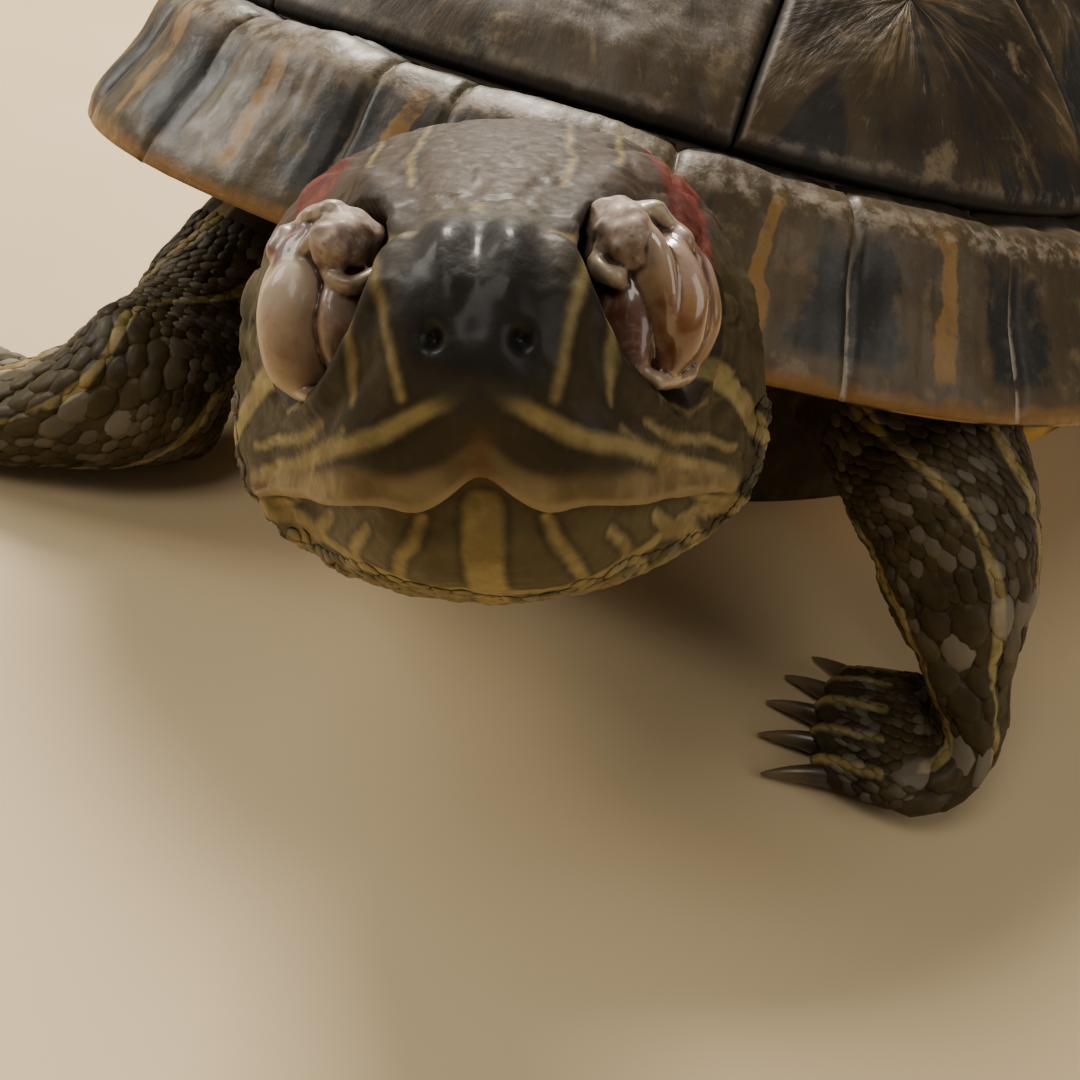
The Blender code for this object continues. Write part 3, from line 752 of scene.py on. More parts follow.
def buildBelly(material):
    y = np.linspace(belly["front"] + 0.3, belly["rear"] - 0.3, 230)[:, None]
    half = spline(belly["lobe"], y)
    half = half + (belly["reach"] - half) * bridgeShare(y) - 0.3
    across = np.sin(np.linspace(-1, 1, 121) * math.pi / 2 * 0.98)[None]
    across = 0.5 * across + 0.5 * np.linspace(-1, 1, 121)[None]
    across = across / np.abs(across).max()
    x = half * across
    y = np.broadcast_to(y, x.shape)
    seam = np.abs(x)
    for at, lean in belly["seams"]:
        seam = np.minimum(seam, np.abs(y - at - lean * np.abs(x)))
    sideSeam = np.abs(np.abs(x) - belly["sideSeam"]) + belly["sideSeam"] * (1 - bridgeShare(y))
    seam = np.minimum(seam, sideSeam)
    rim = half - np.abs(x)
    edge = 1.2 * smooth(0.75, 1.0, np.abs(across)) * (1 - bridgeShare(y))
    roll = 1.6 * hump(rim, 1.2) * (1 - bridgeShare(y))
    place = np.stack([x, y, x * 0], -1)
    low = (bellyHeight(x, y) + edge + roll + 0.5 * hump(seam, 0.55) - 0.15
           + 0.12 * roughClouds(place, 6, 3, 31)
           + 0.05 * np.sin(seam * 2 * math.pi / 2.4) * smooth(1, 4, seam))
    high = bellyHeight(x, y) + belly["wall"]
    lows, highs = np.stack([x, y, low], -1), np.stack([x, y, np.maximum(high, low + 0.6)], -1)
    rows, cols = x.shape
    n = rows * cols
    points = np.concatenate([lows.reshape(-1, 3), highs.reshape(-1, 3)])
    r, c = np.arange(rows), np.arange(cols)
    ring = np.concatenate([c, cols * r[1:] + cols - 1, (rows - 1) * cols + c[::-1][1:],
                           cols * r[::-1][1:-1]])
    following = np.roll(ring, -1)
    faces = [gridFaces(rows, cols, 0, False)[:, ::-1], gridFaces(rows, cols, n, False),
             np.stack([ring, following, following + n, ring + n], -1)]
    wide, long = belly["blotch"]
    blotch = np.min([np.hypot((np.abs(x) - (11 + k)) / wide, (y - at) / long)
                     for k, at in enumerate(belly["blotches"])], axis=0)
    marks = {"seam": seam, "blotch": blotch}
    marks = {k: np.concatenate([v.ravel(), v.ravel()]) for k, v in marks.items()}
    piece = newPiece("belly_plates", points + shellMid, faces, material, marks)
    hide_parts("plastron")
    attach(piece, "root")
    print("belly_plates", n)


# horn of the shell

def hornPaint(name):
    return Paint(name, Coat_Roughness=0.26, Specular_IOR_Level=0.25)


shellHorn = {"dark": (0.023, 0.015, 0.007), "olive": (0.060, 0.040, 0.017), "tan": (0.195, 0.130, 0.060),
             "streak": (0.017, 0.015, 0.013), "smudge": (0.29, 0.215, 0.120),
             "fleck": (0.30, 0.22, 0.115)}


def shellColours(paint, fine, broad, streak):
    # olive-brown horn with tan and dark streaks
    base = paint.mix(shellHorn["dark"], shellHorn["olive"], paint.step(broad, 0.35, 0.65))
    base = paint.mix(base, shellHorn["tan"], paint.step(streak, 0.55, 0.70) * 0.75)
    base = paint.mix(base, shellHorn["streak"], paint.step(streak, 0.46, 0.32) * 0.85)
    smudge = paint.noise(7.5, 5, 0.68)
    base = paint.mix(base, shellHorn["smudge"], paint.step(smudge, 0.57, 0.70) * 0.48)
    return paint.mix(base, shellHorn["fleck"], paint.step(fine, 0.60, 0.80) * 0.35)


plateHorn = {"band": (0.014, 0.014, 0.013), "scraped": (0.26, 0.20, 0.125),
             "ring": (0.018, 0.013, 0.008), "rubbed": (0.24, 0.19, 0.14),
             "groove": (0.011, 0.007, 0.004)}


def plateMaterial():
    paint = hornPaint("dome plate horn")
    inward, fanX, fanY, number = (paint.mark(k) for k in ("inward", "fanX", "fanY", "number"))
    fanned = paint.spot(fanX * 0.024, fanY * 0.024, inward * 0.00035 + number * 0.05)
    streak = paint.noise(4.4, 4, 0.6, fanned, 0.5)
    scratch = paint.noise(1.0, 4, 0.65, fanned)
    broad, fine = paint.noise(17, 3, 0.55), paint.noise(2.4, 5, 0.65)
    colour = shellColours(paint, fine, broad, streak * 0.75 + broad * 0.25)
    band = paint.noise(9.0, 2, 0.5, fanned, 0.3)
    dark = paint.step(band * 0.7 + broad * 0.3, 0.57, 0.63)
    colour = paint.mix(colour, plateHorn["band"], dark * 0.9)
    scraped = paint.step(scratch, 0.60, 0.74) * paint.step(fine, 0.4, 0.6)
    colour = paint.mix(colour, plateHorn["scraped"], scraped * 0.5)
    rings = (inward * 3.4 + paint.noise(7, 2) * 7).maths("SINE")
    colour = paint.mix(colour, plateHorn["ring"], paint.step(rings, 0.7, 1.0) * 0.08)
    rubbed = paint.step(inward, 2.0, 1.2) * paint.step(fine, 0.45, 0.62)
    colour = paint.mix(colour, plateHorn["rubbed"], rubbed * 0.45)
    colour = paint.mix(colour, plateHorn["groove"], paint.step(inward, 1.2, 0.3) * 0.9)
    rough = 0.48 + paint.step(fine, 0.3, 0.75) * 0.20 + paint.step(inward, 1.5, 0.0) * 0.2
    paint.join(0.02 + paint.step(broad, 0.4, 0.7) * 0.12, paint.shader.inputs["Coat Weight"])
    return paint.finish(colour, rough, (streak + rings * 0.02, 0.45, 0.45),
                        (scratch + fine * 0.5, 0.5, 0.22))


marginHorn = {"olive": (0.125, 0.090, 0.045), "joint": (0.015, 0.015, 0.014),
              "fleck": (0.085, 0.075, 0.05), "bar": (0.25, 0.135, 0.028), "line": (0.19, 0.095, 0.022),
              "pale": (0.34, 0.29, 0.225), "ridge": (0.30, 0.24, 0.18), "seam": (0.012, 0.008, 0.004),
              "below": (0.40, 0.25, 0.065), "spot": (0.030, 0.022, 0.014), "gap": (0.18, 0.095, 0.026)}


def marginMaterial():
    paint = hornPaint("edge plate horn")
    names = ("inward", "edge", "across", "under", "number")
    inward, edge, across, under, number = (paint.mark(k) for k in names)
    run = paint.spot(across * 0.001, number * 0.05, inward * 0.00035)
    streak = paint.noise(3.0, 4, 0.6, run, 0.6)
    broad, fine, wave = paint.noise(14, 3, 0.55), paint.noise(1.9, 5, 0.65), paint.noise(6, 4, 0.6)
    colour = shellColours(paint, fine, broad, streak * 0.22 + wave * 0.78)
    colour = paint.mix(colour, marginHorn["olive"], 0.30)
    # each joint is dark to both sides
    dark = (paint.step(edge + wave * 10 + (fine - 0.5) * 4, 10.6, 8.6) * paint.step(inward, 1.9, 3.0)
            * paint.step(inward + wave * 8, 15.5, 12.5))
    colour = paint.mix(colour, marginHorn["joint"], dark * 0.93)
    colour = paint.mix(colour, marginHorn["fleck"], dark * paint.step(fine, 0.52, 0.72) * 0.5)
    # a yellow bar down the middle of some plates
    wide = (across + (wave - 0.5) * 4 + (broad - 0.5) * 6 - 0.6).maths("ABSOLUTE")
    chosen = paint.step(paint.noise(3, 1, 0.5, paint.spot(number * 0.013, 0.0, 0.0)), 0.40, 0.46)
    bar = (paint.step(wide, 1.25, 0.85) * paint.step(inward, 1.6, 2.4)
           * paint.step(inward + wave * 4, 14.5, 12.5) * chosen)
    worn = paint.step(wave * 0.5 + fine * 0.5, 0.30, 0.52)
    colour = paint.mix(colour, marginHorn["bar"], bar * worn * 0.80)
    # the rim's yellow line, pale joints, and a painted highlight along the raised ridge
    line = paint.step(inward + (wave - 0.5) * 2.4, 1.35, 0.7)
    colour = paint.mix(colour, marginHorn["line"], line * 0.8)
    pale = (paint.step(edge + (fine - 0.5) * 0.7, 0.38, 0.10) * paint.step(inward + wave * 6, 14, 9)
            * paint.step(wave, 0.34, 0.42))
    colour = paint.mix(colour, marginHorn["pale"], pale * 0.75)
    # a pale band along the raised ridge by the gutter: painted highlight
    ridge = paint.step(inward, 10.2, 11.2) * paint.step(inward, 13.4, 12.0) * paint.step(fine, 0.42, 0.62)
    colour = paint.mix(colour, marginHorn["ridge"], ridge * 0.55)
    colour = paint.mix(colour, marginHorn["seam"], paint.step(inward, 14.4, 15.8) * 0.92)
    spots = paint.step(edge + wave * 4, 8.6, 7.0) * paint.step(inward + wave * 3, 13, 11)
    below = paint.mix(marginHorn["below"], marginHorn["spot"], spots * 0.95)
    below = paint.mix(below, marginHorn["gap"], paint.step(edge, 0.6, 0.1) * 0.7)
    colour = paint.mix(colour, below, paint.step(under, 0.3, 0.7))
    rough = 0.40 + paint.step(fine, 0.3, 0.75) * 0.24
    paint.join(0.04 + paint.step(broad, 0.4, 0.7) * 0.18, paint.shader.inputs["Coat Weight"])
    return paint.finish(colour, rough, (wave + streak * 0.3, 0.5, 0.5), (fine, 0.5, 0.22))


bellyHorn = {"deep": (0.50, 0.30, 0.075), "pale": (0.60, 0.42, 0.13), "figure": (0.035, 0.028, 0.020),
             "seam": (0.11, 0.055, 0.018), "fleck": (0.20, 0.13, 0.05)}


def bellyMaterial():
    paint = hornPaint("belly plate horn")
    seam, blotch = paint.mark("seam"), paint.mark("blotch")
    wave, fine = paint.noise(9, 3, 0.55), paint.noise(1.8, 4, 0.6)
    colour = paint.mix(bellyHorn["deep"], bellyHorn["pale"], paint.step(paint.noise(16, 3), 0.35, 0.65))
    ring = paint.step(blotch + wave * 0.8, 1.28, 1.12)
    hole = paint.step(blotch + wave * 0.9, 0.70, 0.56)
    colour = paint.mix(colour, bellyHorn["figure"], ring * (1 - hole * 0.7) * 0.92)
    colour = paint.mix(colour, bellyHorn["seam"], paint.step(seam, 0.75, 0.25) * 0.85)
    colour = paint.mix(colour, bellyHorn["fleck"], paint.step(fine, 0.55, 0.8) * 0.3)
    rough = 0.36 + paint.step(fine, 0.3, 0.7) * 0.2
    return paint.finish(colour, rough, (wave, 0.3, 0.4), (fine, 0.3, 0.15))


boneTones = {"dark": (0.020, 0.013, 0.007), "pale": (0.055, 0.036, 0.018)}


def liningMaterial():
    paint = Paint("shell lining")
    grain = paint.noise(3, 4)
    colour = paint.mix(boneTones["dark"], boneTones["pale"], grain)
    return paint.finish(colour, 0.6, (grain, 0.4, 0.3))


buildDome(plateMaterial())
buildMargin(marginMaterial())
buildLining(liningMaterial())
buildBelly(bellyMaterial())
print("shell")


# the head: places are (left, forward, up) from its widest section, in its own axes

head = {"turn": 23.5, "pitch": 22.7, "roll": 10.8, "spot": (27.1, -127.1, 51.0), "inset": 0.3,
        "half": [(-11, 12.6), (-6, 15.4), (0, 16.8), (4, 16.2), (9, 13.9), (13, 11.4), (17, 9.4), (21, 7.7),
                 (24, 5.9), (25.6, 3.9), (26.4, 1.6)],
        "top": [(-11, 13.6), (-6, 14.9), (0, 14.6), (8, 12.6), (14, 10.6), (19, 8.4), (23, 6.3),
                (25.6, 4.2), (26.4, 2.0)],
        "low": [(-11, -12.2), (-6, -13.8), (0, -14.6), (6, -14.3), (13, -12.9), (19, -10.6), (22.5, -8.2),
                (24.4, -5.2), (25.6, -2.4), (26.4, -0.6)],
        "mouth": [(6, -8.3), (9, -7.6), (13, -7.0), (19, -6.3), (22, -5.9), (24.2, -5.5), (27, -5.3)],
        "nostril": (1.75, 1.9), "columns": 262, "rows": 176}
socket = {"spot": (7.25, 16.9, 3.2), "size": (3.85, 6.9, 4.95), "splay": 31.0, "deep": 3.4}


def headAxes():
    turn, pitch, roll = (math.radians(head[k]) for k in ("turn", "pitch", "roll"))
    ahead = Vector((math.sin(turn) * math.cos(pitch), -math.cos(turn) * math.cos(pitch), math.sin(pitch)))
    level = Vector((math.cos(turn), math.sin(turn), 0))
    over = ahead.cross(level)
    left = level * math.cos(roll) + over * math.sin(roll)
    return np.array([left, ahead, ahead.cross(left)])


axes = headAxes()


def headToBody(p):
    return np.asarray(p, float) @ axes + np.array(head["spot"])


def mouthLine(p):
    # height of the mouth's line where the beak has its notch and two blunt cusps
    l, f = np.abs(p[..., 0]), p[..., 1]
    front = smooth(21, 24, f)
    return spline(head["mouth"], f) + front * (1.25 * hump(l, 1.35) - 0.35 * hump(l - 3.0, 1.1))


# the nostril hollows, which the skin paints dark as painted shade
def nostrilShare(p):
    away = np.hypot(np.abs(p[..., 0]) - head["nostril"][0], (p[..., 2] - head["nostril"][1]) * 0.8)
    return smooth(0.62, 0.34, away) * smooth(22, 23, p[..., 1])


def socketShare(p, side):
    # 1 on the egg that the swollen eye fills, less inside it, and how far out a place lies
    splay = math.radians(socket["splay"])
    out = np.array([side * math.cos(splay), math.sin(splay), 0])
    fore = np.array([-side * math.sin(splay), math.cos(splay), 0])
    d = p - np.array([side * socket["spot"][0], socket["spot"][1], socket["spot"][2]])
    own = np.stack([d @ out, d @ fore, d[..., 2]], -1)
    return np.linalg.norm(own / np.array(socket["size"]), axis=-1), own[..., 0]


def headRows():
    # cross sections spaced evenly over the skin, with points crowded along the mouth
    f = np.linspace(head["half"][0][0], head["half"][-1][0], 900)
    low, half = np.gradient(spline(head["low"], f)), np.gradient(spline(head["half"], f))
    steps = np.linalg.norm([np.gradient(f), low, 1.5 * half], axis=0) * (1 + 0.6 * smooth(14, 21, f))
    run = np.cumsum(steps) - steps[0]
    f = np.interp(np.linspace(0, run[-1], head["rows"]), run, f)
    dense = np.linspace(-math.pi / 2, 1.5 * math.pi, 1601)
    c, s = signedPower(np.cos(dense), 0.84), signedPower(np.sin(dense), 0.84)
    rows, angles = [], []
    for v in f:
        half, top, low = (spline(head[k], v) for k in ("half", "top", "low"))
        middle = (top + low) / 2 - 0.12 * (top - low)
        z = middle + s * np.where(s > 0, top - middle, middle - low)
        line = np.stack([half * c, np.full_like(c, v), z], -1)
        gap = z[:-1] - mouthLine(line[:-1])
        crowd = 1 + 2.4 * hump(gap, 1.1) * smooth(4, 9, v)
        weight = np.linalg.norm(np.diff(line, axis=0), axis=1) * crowd
        walk = running(weight)
        even = np.linspace(0, walk[-1], head["columns"], endpoint=False)
        rows.append(np.stack([np.interp(even, walk, line[:, k]) for k in range(3)], -1))
        angles.append(np.interp(even, walk, dense))
    tip = rows[-1].mean(0)
    for share in (0.90, 0.79, 0.68, 0.57, 0.46, 0.35, 0.24, 0.13):
        rows.append(tip + (rows[len(f) - 1] - tip) * share + np.array([0, 0.30 * (1 - share**2), 0]))
        angles.append(angles[-1])
    return np.array(rows), np.array(angles)


def sculptHead(p):
    # every fold, bump and wrinkle of the head, as lengths along the normal
    l, f, u = p[..., 0], p[..., 1], p[..., 2]
    side = np.abs(l)
    push = np.zeros_like(l) - head["inset"]
    # snout: a rounded nose pad with a groove down its middle and two nostrils
    pad = np.exp(-(side / 4.1) ** 4 - (np.abs(u - 3.1) / 3.7) ** 4) * smooth(19.5, 23, f)
    push += 0.60 * pad
    push -= 0.22 * hump(side, 0.6) * hump(u - 4.6, 1.9) * smooth(21, 23, f)
    push += 0.48 * hump(side - 1.3, 0.80) * hump(u - 5.7, 1.2) * smooth(20, 22.5, f)
    nostril = np.hypot(side - head["nostril"][0], (u - head["nostril"][1]) * 0.85)
    push -= smooth(22, 24, f) * 0.62 * hump(nostril, 0.42)
    # brow from the nose pad to above each eye, and a hollow in front of the eye
    push += (0.55 * hump(side - (3.9 + (23 - f) * 0.24), 1.1) * smooth(4.5, 6.5, u) * smooth(8, 12, f)
             * smooth(22.5, 19.5, f))
    push -= 0.35 * hump(side - 5.4, 1.5) * hump(u - 1.2, 3.4) * smooth(19, 22, f)
    # eyes
    for eye in (1, -1):
        share, out = socketShare(p, eye)
        share = share + 0.055 * clouds(p, 1.7, 42) + 0.03 * clouds(p, 0.8, 43)
        push -= socket["deep"] * smooth(1.05, 0.84, share) * smooth(4.0, 5.0, side)
        push += 0.60 * hump(share - 1.17, 0.10) * smooth(-1.6, 0.6, out)
        push += (0.07 * np.sin(share * 30 + 3 * clouds(p, 2.5, 40)) * smooth(1.22, 1.34, share)
                 * smooth(1.9, 1.4, share) * (0.5 + 0.5 * clouds(p, 4.0, 41)))
    # mouth: the beak's lip stands over the lower jaw
    gap = u - mouthLine(p)
    along = smooth(6.5, 9.5, f)
    push += along * (0.42 * hump(gap - 0.65, 0.7) + 0.25 * hump(gap - 2.6, 1.6))
    push -= along * (0.95 * smooth(0.12, -0.22, gap) * smooth(-4.2, -1.0, gap)
                     + 0.45 * hump(gap + 0.05, 0.17))
    push += along * 0.25 * hump(gap + 2.2, 0.8)
    # cheeks, ear drum and jaw angle
    push += 0.5 * hump((f - 3) / 6, 1) * hump((u + 6.5) / 3.5, 1) * smooth(9, 14, side)
    drum = np.hypot(f - 0.5, u - 0.5)
    push += smooth(11, 14, side) * (0.30 * hump(drum - 4.3, 0.7) - 0.30 * smooth(4.2, 3.2, drum))
    # soft folds and small wrinkles, smoother on the beak and crown
    horn = smooth(-1.2, 0.0, gap) * smooth(20, 23, f)
    crown = smooth(6, 9, u) * smooth(9, 6.5, side)
    face = (1 - horn) * (1 - 0.7 * crown)
    stretch = np.stack([l, f * 0.45, u], -1)
    push += face * 0.12 * roughClouds(stretch, 1.5, 3, 11)
    push += 0.26 * roughClouds(p, 6.5, 2, 12) * (1 - 0.6 * horn) * (1 - 0.6 * crown)
    folds = np.abs(clouds(np.stack([l, f * 0.30, u * 1.5], -1), 2.2, 14))
    push -= face * 0.26 * smooth(0.16, 0.0, folds) * smooth(17, 9, f)
    cracks = pebbles(p * [1, 0.8, 1], 2.6, 15)
    push -= crown * 0.16 * smooth(0.16, 0.0, cracks)
    grains = pebbles(p, 1.15, 16)
    rear = smooth(9, 4, f) * smooth(-1, -5, u) + smooth(-5, -9, f)
    jaw = smooth(-1.5, -4.5, gap) * smooth(20, 8, f)
    push += np.clip(rear + 0.6 * jaw, 0, 1) * 0.30 * (grains - 0.5)
    return push


# stripes of the head's left side, each with its half width; the right side has them mirrored
faceStripes = [
    # from under the nose outwards over the beak
    ([(0.3, 26.4, 0.4), (1.6, 26.0, -0.7), (3.6, 25.2, -1.9), (6.6, 22.0, -3.2), (9.6, 16.0, -4.6),
      (12.2, 10.4, -5.6)], 0.42),
    # the arch beside the nose
    ([(4.5, 23.6, 5.0), (3.9, 24.6, 3.6), (3.6, 25.4, 1.6), (3.2, 25.8, -0.6)], 0.27),
    ([(4.5, 23.6, 4.9), (5.0, 23.6, 3.4), (5.5, 23.9, 1.4), (5.9, 24.0, -0.8)], 0.27),
    # below the eye and over the cheek
    ([(7.0, 21.4, -2.0), (8.6, 18.6, -3.0), (10.8, 14.0, -3.6), (13.0, 9.4, -4.6)], 0.26),
    ([(10.9, 15.0, 0.6), (12.9, 10.4, -0.9), (14.4, 7.0, -3.0), (15.6, 3.0, -5.0), (15.4, -4, -6.0)], 0.85),
    ([(5.6, 23.0, -2.2), (7.2, 20.7, -3.6), (9.4, 16.6, -5.6)], 0.20),
    ([(7.4, 20.6, -1.0), (9.6, 16.8, -1.9), (11.6, 12.8, -1.9)], 0.16),
    # thin lines on the crown
    ([(4.0, 17.0, 9.2), (4.1, 13.0, 10.6), (4.2, 8.0, 12.2), (4.2, 0.0, 14.2), (4.0, -11, 13.0)], 0.17),
    ([(6.4, 11.6, 9.9), (6.6, 7.0, 11.2), (6.8, 1.0, 12.9), (6.6, -11, 11.6)], 0.18),
    ([(3.2, 23.0, 6.3), (4.2, 22.0, 6.3), (5.2, 20.4, 6.5)], 0.30),
    # lower jaw
    ([(3.0, 23.2, -6.8), (4.2, 20.4, -9.0), (4.9, 16.0, -11.4)], 0.32),
    ([(6.2, 20.0, -7.6), (7.8, 15.6, -10.3), (8.6, 10.0, -12.2)], 0.36),
    ([(9.4, 15.0, -8.3), (11.6, 8.6, -10.2), (12.4, 1, -11.3), (12.0, -6, -11)], 0.60),
    ([(12.0, 10.6, -7.6), (14.0, 5.0, -8.4), (14.2, -2, -9.0)], 0.60),
    ([(0, 18.6, -11.4), (4.6, 18.0, -10.9), (8.6, 14.4, -9.9), (11.4, 10.2, -8.9), (13.4, 5.0, -8.2)],
     0.55),
]
midStripes = [([(0, 24.2, -6.6), (0, 22.0, -9.0), (0, 16.0, -12.0), (0, 8, -14.2), (0, -2, -14.5)], 0.95),
              ([(0, 20.9, 7.4), (0, 20.3, 7.7)], 0.28)]
redStripe = ([(11.2, 13.0, 5.6), (11.2, 8.5, 8.3), (10.5, 4.0, 10.4), (9.9, -3.0, 11.2), (9.6, -11, 10.6)],
             2.2)
farOff = 9.0   # the value of a stripe mark where no stripe is near


def settle(line, surface):
    # a smooth line through the places, laid on the nearest points of the head
    line = catmull(line, np.linspace(0, len(line) - 1, 9 * (len(line) - 1) + 1))
    flat = surface.reshape(-1, 3)
    laid = np.array([flat[np.argmin(((flat - q) ** 2).sum(1))] for q in line])
    for _ in range(4):
        laid[1:-1] = (laid[:-2] + 2 * laid[1:-1] + laid[2:]) / 4
    return laid


def markHead(p):
    wobbled = p + 0.16 * np.stack([clouds(p, 2.6, 50 + k) for k in range(3)], -1)

    def away(line, side=1):
        return lineDistance(wobbled, settle(np.array(line) * [side, 1, 1], p[:, ::2]))

    stripe, red = np.full(p.shape[:2], farOff), np.full(p.shape[:2], farOff)
    for side in (1, -1):
        for line, wide in faceStripes:
            d, along = away(line, side)
            stripe = np.minimum(stripe, d - wide * (0.75 + 0.25 * np.sin(math.pi * along)))
        d, along = away(redStripe[0], side)
        red = np.minimum(red, d - redStripe[1] * (0.7 + 0.5 * along))
    for line, wide in midStripes:
        stripe = np.minimum(stripe, away(line)[0] - wide)
    l, f, u = p[..., 0], p[..., 1], p[..., 2]
    gap = u - mouthLine(p)
    along = smooth(6.5, 9.5, f)
    lip = along * smooth(-0.15, 0.1, gap) * (0.6 * smooth(2.3, 1.2, gap + 0.5 * clouds(p, 2.2, 60))
                                             + 0.4 * smooth(1.0, 0.45, gap + 0.2 * clouds(p, 1.8, 62)))
    # brown wedge over the beak's notch, black nose pad, crown, and paler throat and jaw
    wedge = (hump(l - 0.1, 0.35 + 0.12 * np.clip(-1.5 - u, 0, 4)) * smooth(-5.0, -4.3, u)
             * smooth(-1.2, -2.6, u) * smooth(23, 24, f))
    nose = smooth(1.25, 0.8, np.hypot(l / 3.3, (u - 2.9) / 4.1)) * smooth(20.5, 22.5, f)
    crown = smooth(5.5, 8.5, u) * smooth(21, 18, f)
    throat = np.maximum(smooth(-9.5, -12, u + 0.8 * clouds(p, 3, 61)),
                        0.30 * smooth(-0.4, -1.6, gap) * smooth(4, 10, f))
    # darker round the eyes and over the front of the face
    near = np.minimum(socketShare(p, 1)[0], socketShare(p, -1)[0]) + 0.10 * clouds(p, 1.6, 63)
    front = smooth(15.0, 21.0, f) * smooth(-5.0, -3.4, u) * smooth(7.5, 5.5, u)
    shade = np.maximum(smooth(1.42, 1.12, near), 0.5 * front)
    # the slit mark is painted shade, dark along the mouth's line and in the nostrils
    return {"stripe": stripe, "red": red, "lip": lip, "wedge": wedge, "nose": nose, "crown": crown,
            "slit": np.maximum(along * hump(gap + 0.08, 0.16), nostrilShare(p)), "throat": throat,
            "shade": shade}


# neck, limbs, tail and trunk: stations are x, y, z, half width and half thickness, from the body outwards

neckPath = [(-1, -62, 30, 16, 12), (3, -84, 28.5, 15, 11), (9, -100, 28.3, 13.5, 10.4),
            (17.5, -111.5, 34, 12.2, 10.2)]
neckStripes = [(75, 0.24), (62, 0.24), (37, 1.35), (20, 0.40), (3, 0.55), (-14, 0.62), (-33, 0.45),
               (-52, 0.85), (-72, 0.5), (-90, 0.9)]   # bearing on the left side, half width
limbs = {
    "foreleg_left": {"path": [(38, -48, 30, 12, 10.5), (46, -63, 31.5, 11.5, 9.5), (54, -74, 30, 10.5, 9),
                              (61.5, -79.5, 21, 10.5, 8), (66, -83, 13, 8.8, 4.7), (68, -85, 7, 8.4, 3.8),
                              (64, -86.2, 4.3, 11, 3.9), (56, -86.5, 2.4, 10.5, 3)],
                     "foot": "hand_left", "claw": 9.0, "stripes": (1.5, 2.6, 4.0, 5.2), "seed": 21},
    "foreleg_right": {"path": [(-34, -48, 28.5, 11.5, 10), (-37, -64, 26.5, 10.8, 9.2),
                               (-40.5, -79.5, 16.5, 9.6, 8.6), (-36.5, -95, 10.8, 12.5, 10.4),
                               (-47, -102.5, 6.6, 10.5, 6.4), (-57, -105, 4.8, 11, 5),
                               (-65, -105, 3.4, 12, 4.2), (-71, -104.5, 2.4, 11, 3)],
                      "foot": "hand_right", "claw": 9.0, "stripes": (0.4, 1.6, 3.4, 5.3), "seed": 22},
    "hindleg_left": {"path": [(36, 46, 26, 13, 11), (49, 58, 24.5, 13, 10.5), (64, 69, 20.5, 12.5, 10.5),
                              (74, 79, 13, 11, 9), (77, 88, 8, 9.5, 7), (80, 96, 5, 11.5, 5.4),
                              (84, 104, 3.4, 13.5, 4.2), (88, 110, 2.4, 12.5, 2.9)],
                     "foot": "foot_left", "claw": 6.5, "stripes": (0.6, 1.6, 2.6, 4.2), "seed": 23},
    "hindleg_right": {"path": [(-36, 46, 26, 13, 11), (-50, 55, 24.5, 13, 10.5),
                               (-66, 61, 20.5, 12.5, 10.5), (-79, 67, 13, 11, 9),
                               (-85, 74, 8, 9.5, 7), (-90, 81, 5, 11.5, 5.4),
                               (-96, 88, 3.4, 13.5, 4.2), (-101, 93.5, 2.4, 12.5, 2.9)],
                      "foot": "foot_right", "claw": 6.5, "stripes": (0.6, 1.6, 2.6, 4.2), "seed": 24},
}
tailPath = [(0, 66, 23, 10, 7), (1, 84, 22.5, 8.5, 6.6), (5, 102, 18, 6.2, 5.4), (13, 118, 11, 3.8, 3.6),
            (24, 131, 6, 1.3, 1.3)]
tailStripes = (0.2, 1.1, 2.0, 2.9, 4.1, 5.3)   # bearings round the tail, as for the limbs
toes = {"count": 5, "spread": 0.80, "fan": 0.42, "back": 2.6, "wide": 0.15}
grounded, soleLow = 0.05, 0.04   # lowest points over the floor: of tail, claws and scales, and of soles
skinMarks = ("stripe", "red", "lip", "wedge", "nose", "crown", "slit", "throat", "shade")


def tubeFrames(path, t, level=(1.5, 4.0), reach=1.2):
    # centre, half width and thickness, and the way along, the side and the top of each cross section
    keys = np.array(path, float)
    last = len(keys) - 1
    mid = catmull(keys, t)
    ahead, behind = (catmull(keys[:, :3], np.clip(t + way * reach, 0, last)) for way in (1, -1))
    along = unit(ahead - behind)
    run = keys[-1, :3] - keys[-3, :3]
    goal = unit(np.array([-run[1], run[0], 0.0]))
    side = np.cross([0, 0, 1.0], along[0])
    sides = []
    for k, v in enumerate(t):
        if level:
            goal = goal if goal @ side > 0 else -goal
            w = float(smooth(*level, v))
            side = side * (1 - w) + goal * w
        side = unit(side - along[k] * (side @ along[k]))
        sides.append(side)
    sides = np.array(sides)
    return mid[:, :3], mid[:, 3], mid[:, 4], along, sides, np.cross(along, sides)


def tubePoints(frames, angles, grow=0.0, power=2.2):
    mid, wide, thick, _, sides, ups = frames
    c, s = signedPower(np.cos(angles), 2 / power), signedPower(np.sin(angles), 2 / power)
    return (mid[:, None] + sides[:, None] * ((wide + grow)[:, None] * c)[..., None]
            + ups[:, None] * ((thick + grow)[:, None] * s)[..., None])


def skinFolds(p, along, seed, deep=0.35):
    # soft folds across the way along, then wrinkles and grains
    folds = np.abs(clouds(np.stack([along * 0.8, p[..., 0] * 0.25, p[..., 2] * 0.25], -1), 3.2, seed))
    return (0.5 * roughClouds(p, 9, 2, seed) - deep * smooth(0.22, 0.0, folds)
            + 0.12 * roughClouds(p, 1.8, 2, seed + 3) + 0.18 * (pebbles(p, 1.7, seed + 5) - 0.5))


def plainMarks(shape):
    return {name: np.full(shape, farOff if name in ("stripe", "red") else 0.0) for name in skinMarks}


